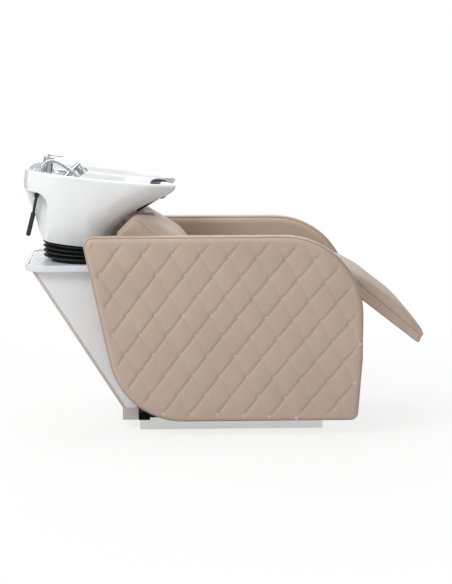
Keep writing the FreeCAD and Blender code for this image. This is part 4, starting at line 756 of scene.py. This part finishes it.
# Cushions
PRESSURE, SLACK = 4.0, 0.005
CELL, ROUNDS = 0.0065, 14
SIDE = 0.247
SEAM_STEP, SEAM_DEPTH, SEAM_REACH, SEAM_WELT = 0.006, 0.002, 0.006, 0.0013
SEAT_UNDER = (0.297, 0, -0.955)
BACK_REAR = np.array((-0.791, 0.0, -0.612))
BACK_FULLER, BACK_LOWER, BASIN_GAP = 0.036, 0.20, 0.012
LEG_SLOPE = math.radians(37.9)
LEG_PIVOT = np.array((0.373, 0.0, 0.603))
LEG_ALONG = np.array((math.cos(LEG_SLOPE), 0.0, -math.sin(LEG_SLOPE)))
LEG_UP = np.array((math.sin(LEG_SLOPE), 0.0, math.cos(LEG_SLOPE)))
LEG_BOARD, LEG_PAD, LEG_HALF, LEG_ROUND = 0.012, 0.062, 0.24, 0.02
LEG_KNEE, LEG_FEET = 0.010, 0.446


def swollen(item, cap, frames=18):
    """Lets the cover swell under pressure as cloth, then holds each point within a cap of where it began."""
    start = coordinates(item)
    scene = bpy.context.scene
    modifier = item.modifiers.new("cloth", "CLOTH")
    settings = modifier.settings
    settings.use_pressure = True
    settings.uniform_pressure_force = PRESSURE
    settings.quality = 5
    settings.mass = 0.4
    settings.tension_stiffness = settings.compression_stiffness = 22
    settings.bending_stiffness = 6
    settings.effector_weights.gravity = 0
    modifier.collision_settings.use_collision = False
    modifier.point_cache.frame_start = 1
    modifier.point_cache.frame_end = frames
    for number in range(1, frames + 1):
        scene.frame_set(number)
        bpy.context.view_layer.update()
    applied(item)
    scene.frame_set(1)
    moved = coordinates(item) - start
    length = np.linalg.norm(moved, axis=1)
    moved *= (np.minimum(length, cap) / np.maximum(length, 1e-9))[:, None]
    return placed(item, start + moved)


def stuffed(item, nodes, body, base, cap, limits):
    """Makes a cushion of a form: its cover swells, but stays flat on the side that faces along base."""
    points, facing = coordinates(item), normals(item)
    lying = smoothstep(facing @ np.array(base), 0.3, 0.9)[:, None]
    placed(item, points - facing * SLACK * (1 - lying))
    swollen(item, cap)
    modified(item, "SMOOTH", factor=SMOOTHING, iterations=6)
    low, high = np.array(limits[0]), np.array(limits[1])
    placed(item, np.clip(coordinates(item) * (1 - lying) + points * lying, low, high))
    item.data.shade_smooth()
    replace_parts(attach(item, body), *nodes)
    return item


def rounded_box(name, low, high, radius, look):
    """A closed box of even cells with rounded edges."""
    low, high = np.array(low), np.array(high)
    half, middle = (high - low) / 2, (high + low) / 2
    points, faces = [], []
    for axis in range(3):
        others = [(axis + 1) % 3, (axis + 2) % 3]
        counts = [int(2 * half[other] / CELL) + 1 for other in others]
        for side in (-1, 1):
            start = len(points)
            for first in np.linspace(-1, 1, counts[0]):
                for second in np.linspace(-1, 1, counts[1]):
                    point = half.copy()
                    point[[axis, *others]] *= (side, first, second)
                    points.append(point)
            faces += [tuple(start + index for index in face) for face in grid_faces(*counts)]
    points = np.array(points)
    core = np.clip(points, radius - half, half - radius)
    away = points - core
    away *= (radius / np.maximum(np.linalg.norm(away, axis=1), 1e-9))[:, None]
    return welded(piece(name, middle + core + away, faces, look), 1e-5)


def leg_rest_form():
    """Leg rest with its board under one cover: crowned across, and thinner towards the feet."""
    low, high = (LEG_KNEE, -LEG_HALF, -LEG_BOARD), (LEG_FEET, LEG_HALF, LEG_PAD)
    item = rounded_box("leg_rest_padding", low, high, LEG_ROUND, "upholstery")
    along, across, up = coordinates(item).T
    thin = (0.70 + 0.30 * smoothstep(along, 0.0, 0.14)) * (1 - 0.42 * smoothstep(along, 0.27, 0.45))
    thin = np.where(up > 0, thin, 1.0)
    crown = np.where(up > 0, 0.82 + 0.18 * np.sqrt(np.clip(1 - (across / 0.243) ** 2, 0, 1)), 1.0)
    waist = 1 - 0.012 * np.sin(math.pi * np.clip((along - 0.012) / 0.43, 0, 1))
    points = LEG_PIVOT + along[:, None] * LEG_ALONG + (LEG_BOARD + up * thin * crown)[:, None] * LEG_UP
    points[:, 1] = across * waist
    return placed(item, points)


def back_form():
    """Back cushion and its board under one cover, fuller behind the shoulders, clear of the basin."""
    item = copied("back_cushion", "back_padding", "upholstery")
    both = bmesh.new()
    both.from_mesh(item.data)
    both.from_mesh(NODES["back_board"].data)
    both.to_mesh(item.data)
    both.free()
    remeshed(item, CELL, ROUNDS)
    points, facing = coordinates(item), normals(item)
    across, height = np.abs(points[:, 1]), points[:, 2]
    fuller = BACK_FULLER * smoothstep(facing @ BACK_REAR, 0.0, 0.7) * smoothstep(across, 0.08, 0.19)
    fuller *= smoothstep(height, 0.60, 0.70) * (1 - smoothstep(height, 0.80, 0.84))
    basin = NODES["basin"].data
    wall = BVHTree.FromPolygons([vertex.co for vertex in basin.vertices],
                                [tuple(face.vertices) for face in basin.polygons])
    for index in np.nonzero(fuller > 0.001)[0]:
        hit = wall.ray_cast(Vector(points[index]), Vector(BACK_REAR), 0.2)
        if hit[0] is not None:
            fuller[index] = min(fuller[index], max(hit[3] - BASIN_GAP, 0.0))
    depth = points @ -BACK_REAR
    lower = BACK_LOWER * (depth - depth.min()) * smoothstep(across, 0.10, 0.246)
    lower *= smoothstep(facing @ -BACK_REAR, -0.2, 0.6)
    placed(item, points + (fuller + lower)[:, None] * BACK_REAR)
    return modified(item, "SMOOTH", factor=SMOOTHING, iterations=8)


def cut_line(item, place, normal):
    """The longest loop where a plane meets a piece, as evenly spaced points."""
    section = bmesh.new()
    section.from_mesh(item.data)
    cut = bmesh.ops.bisect_plane(section, geom=section.verts[:] + section.edges[:] + section.faces[:],
                                 plane_co=place, plane_no=normal)
    edges = [part for part in cut["geom_cut"] if isinstance(part, bmesh.types.BMEdge)]
    links = {}
    for edge in edges:
        first, second = edge.verts
        links.setdefault(first, []).append(second)
        links.setdefault(second, []).append(first)
    loops, left = [], dict.fromkeys(links)
    while left:
        loop = [next(iter(left))]
        del left[loop[0]]
        while True:
            following = [vertex for vertex in links[loop[-1]] if vertex in left]
            if not following:
                break
            del left[following[0]]
            loop.append(following[0])
        loops.append([tuple(vertex.co) for vertex in loop])
    section.free()
    path = np.array(max(loops, key=len))
    for _ in range(3):
        path = (np.roll(path, 1, axis=0) + 2 * path + np.roll(path, -1, axis=0)) / 4
    return evened(path, SEAM_STEP)


def seam(item, name, body, place, normal):
    """Sewn seam where a plane meets a cushion: the cover is drawn in and a thin welt lies there."""
    place, normal = np.array(place, float), np.array(normal, float)
    points = coordinates(item)
    away = (points - place) @ normal
    placed(item, points - normals(item) * (SEAM_DEPTH * np.exp(-((away / SEAM_REACH) ** 2)))[:, None])
    welt = tube(name, cut_line(item, tuple(place), tuple(normal)), SEAM_WELT, "seam", WELT_SIDES, True)
    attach(welt, body)


def cushions():
    """Seat, back and leg rest."""
    seat = remeshed(copied("seat_cushion", "seat_padding", "upholstery"), CELL, ROUNDS)
    stuffed(seat, ["seat_cushion"], "chair", SEAT_UNDER, 0.012,
            ((-1, -SIDE, 0), (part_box("seat_cushion")[1][0] + 0.001, SIDE, 2)))
    back = stuffed(back_form(), ["back_cushion", "back_board"], "chair", BACK_REAR, 0.009,
                   ((-1, -SIDE, 0), (1, SIDE, 2)))
    rest = stuffed(leg_rest_form(), ["leg_rest_cushion", "leg_rest_board"], "leg_rest", -LEG_UP, 0.009,
                   ((0, -SIDE, 0), (2, SIDE, 2)))
    for item, name, reach in ((seat, "seat", 0.228), (back, "back", 0.226)):
        for word, y in (("near", -reach), ("far", reach)):
            seam(item, f"{name}_{word}_seam", "chair", (0, y, 0), (0, 1, 0))
    seam(rest, "leg_rest_seam", "leg_rest", LEG_PIVOT + 0.05 * LEG_ALONG + 0.044 * LEG_UP,
         LEG_UP * 0.9994 + LEG_ALONG * 0.034)


# Bellows, neck rest and basin
def bellows():
    """Rubber folds with rolled crests between the tray and the foot of the basin."""
    low = np.array((-0.560, 0.0, 0.637))
    high = np.array(basin_point(-32, 0, 11.6))
    folds, collar = 4, 0.010
    crest_foot, crest_taper, fold_depth, head = 0.166, 0.028, 0.026, 0.122
    sides = 96
    profile = [(0.0, 0.131), (0.0, 0.1338), (0.55, 0.134), (1.0, 0.1345)]
    rows = [(collar * share, 0.0, radius) for share, radius in profile]
    steps = 14
    for index in range(1, folds * steps + 1):
        share = index / (folds * steps)
        phase = (index % steps) / steps
        wave = (0.5 - 0.5 * math.cos(2 * math.pi * phase)) ** 0.62
        crest = crest_foot - crest_taper * share
        root = crest - fold_depth if index < folds * steps else head
        rows.append((collar, share, root + (crest - root) * wave))
    rows += [(collar, 1.0, 0.1218), (collar, 1.0, 0.115)]
    points = []
    for lift, share, radius in rows:
        base = low + np.array((0, 0, lift))
        centre = base + (high - base) * share
        tip = TILT * share
        for turn in np.linspace(0, 2 * math.pi, sides, endpoint=False):
            along, across = radius * math.cos(turn), radius * math.sin(turn)
            points.append(centre + np.array((along * math.cos(tip), across, -along * math.sin(tip))))
    item = piece("bellows_folds", points, grid_faces(len(rows), sides, True), "black_rubber")
    modified(item, "SOLIDIFY", thickness=0.003, offset=-1.0)
    item.data.shade_smooth()
    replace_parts(item, "bellows")
    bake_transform(item)


APRON_SHIFT = 0.009
FLAP_END, FLAP_RISE = (-0.3623, 0.8225), 0.571
ROUNDED = (
    ("handset_body", "handset_plated", 0.0010, 14, "handset"),
    ("mixer_body", "mixer_plated", 0.0011, 5, "basin_unit"),
    ("mixer_cap", "mixer_cap_plated", 0.0007, 6, "tap_cap"),
    ("mixer_handle", "mixer_handle_plated", 0.0006, 8, "tap_handle"),
    ("handset_holder", "handset_holder_plated", 0.0008, 8, "basin_unit"),
    ("lever_rod", "lever_rod_moulded", 0.0008, 8, "tilt_lever"),
    ("lever_grip", "lever_grip_moulded", 0.0010, 8, "tilt_lever"),
    ("column_tray", "column_tray_moulded", 0.0024, 4, "chair"),
)
BOARD_EDGE = 0.0012


def rounded_pieces():
    """Glazed, moulded, plated and gel pieces whose real edges are round, and boards with broken edges."""
    basin = softened("basin", "basin_glazed", 0.0026, 10, "basin_unit")
    points = coordinates(basin)
    x, z = points[:, 0].copy(), points[:, 2]
    points[:, 0] -= APRON_SHIFT * smoothstep(1.0 - z, 0.005, 0.075) * smoothstep(-x, 0.735, 0.765)
    placed(basin, points)
    neck = softened("neck_rest", "neck_rest_gel", 0.0028, 14, "basin_unit")
    points = coordinates(neck)
    points[:, 2] = np.maximum(points[:, 2], FLAP_END[1] + FLAP_RISE * (points[:, 0] - FLAP_END[0]))
    placed(neck, points)
    for row in ROUNDED:
        softened(*row)
    for node in ("near_column_panel", "far_column_panel", "column_rear_panel", "column_plinth"):
        bevelled(node, node + "_edged", BOARD_EDGE, "chair")


cushions()
bellows()
rounded_pieces()
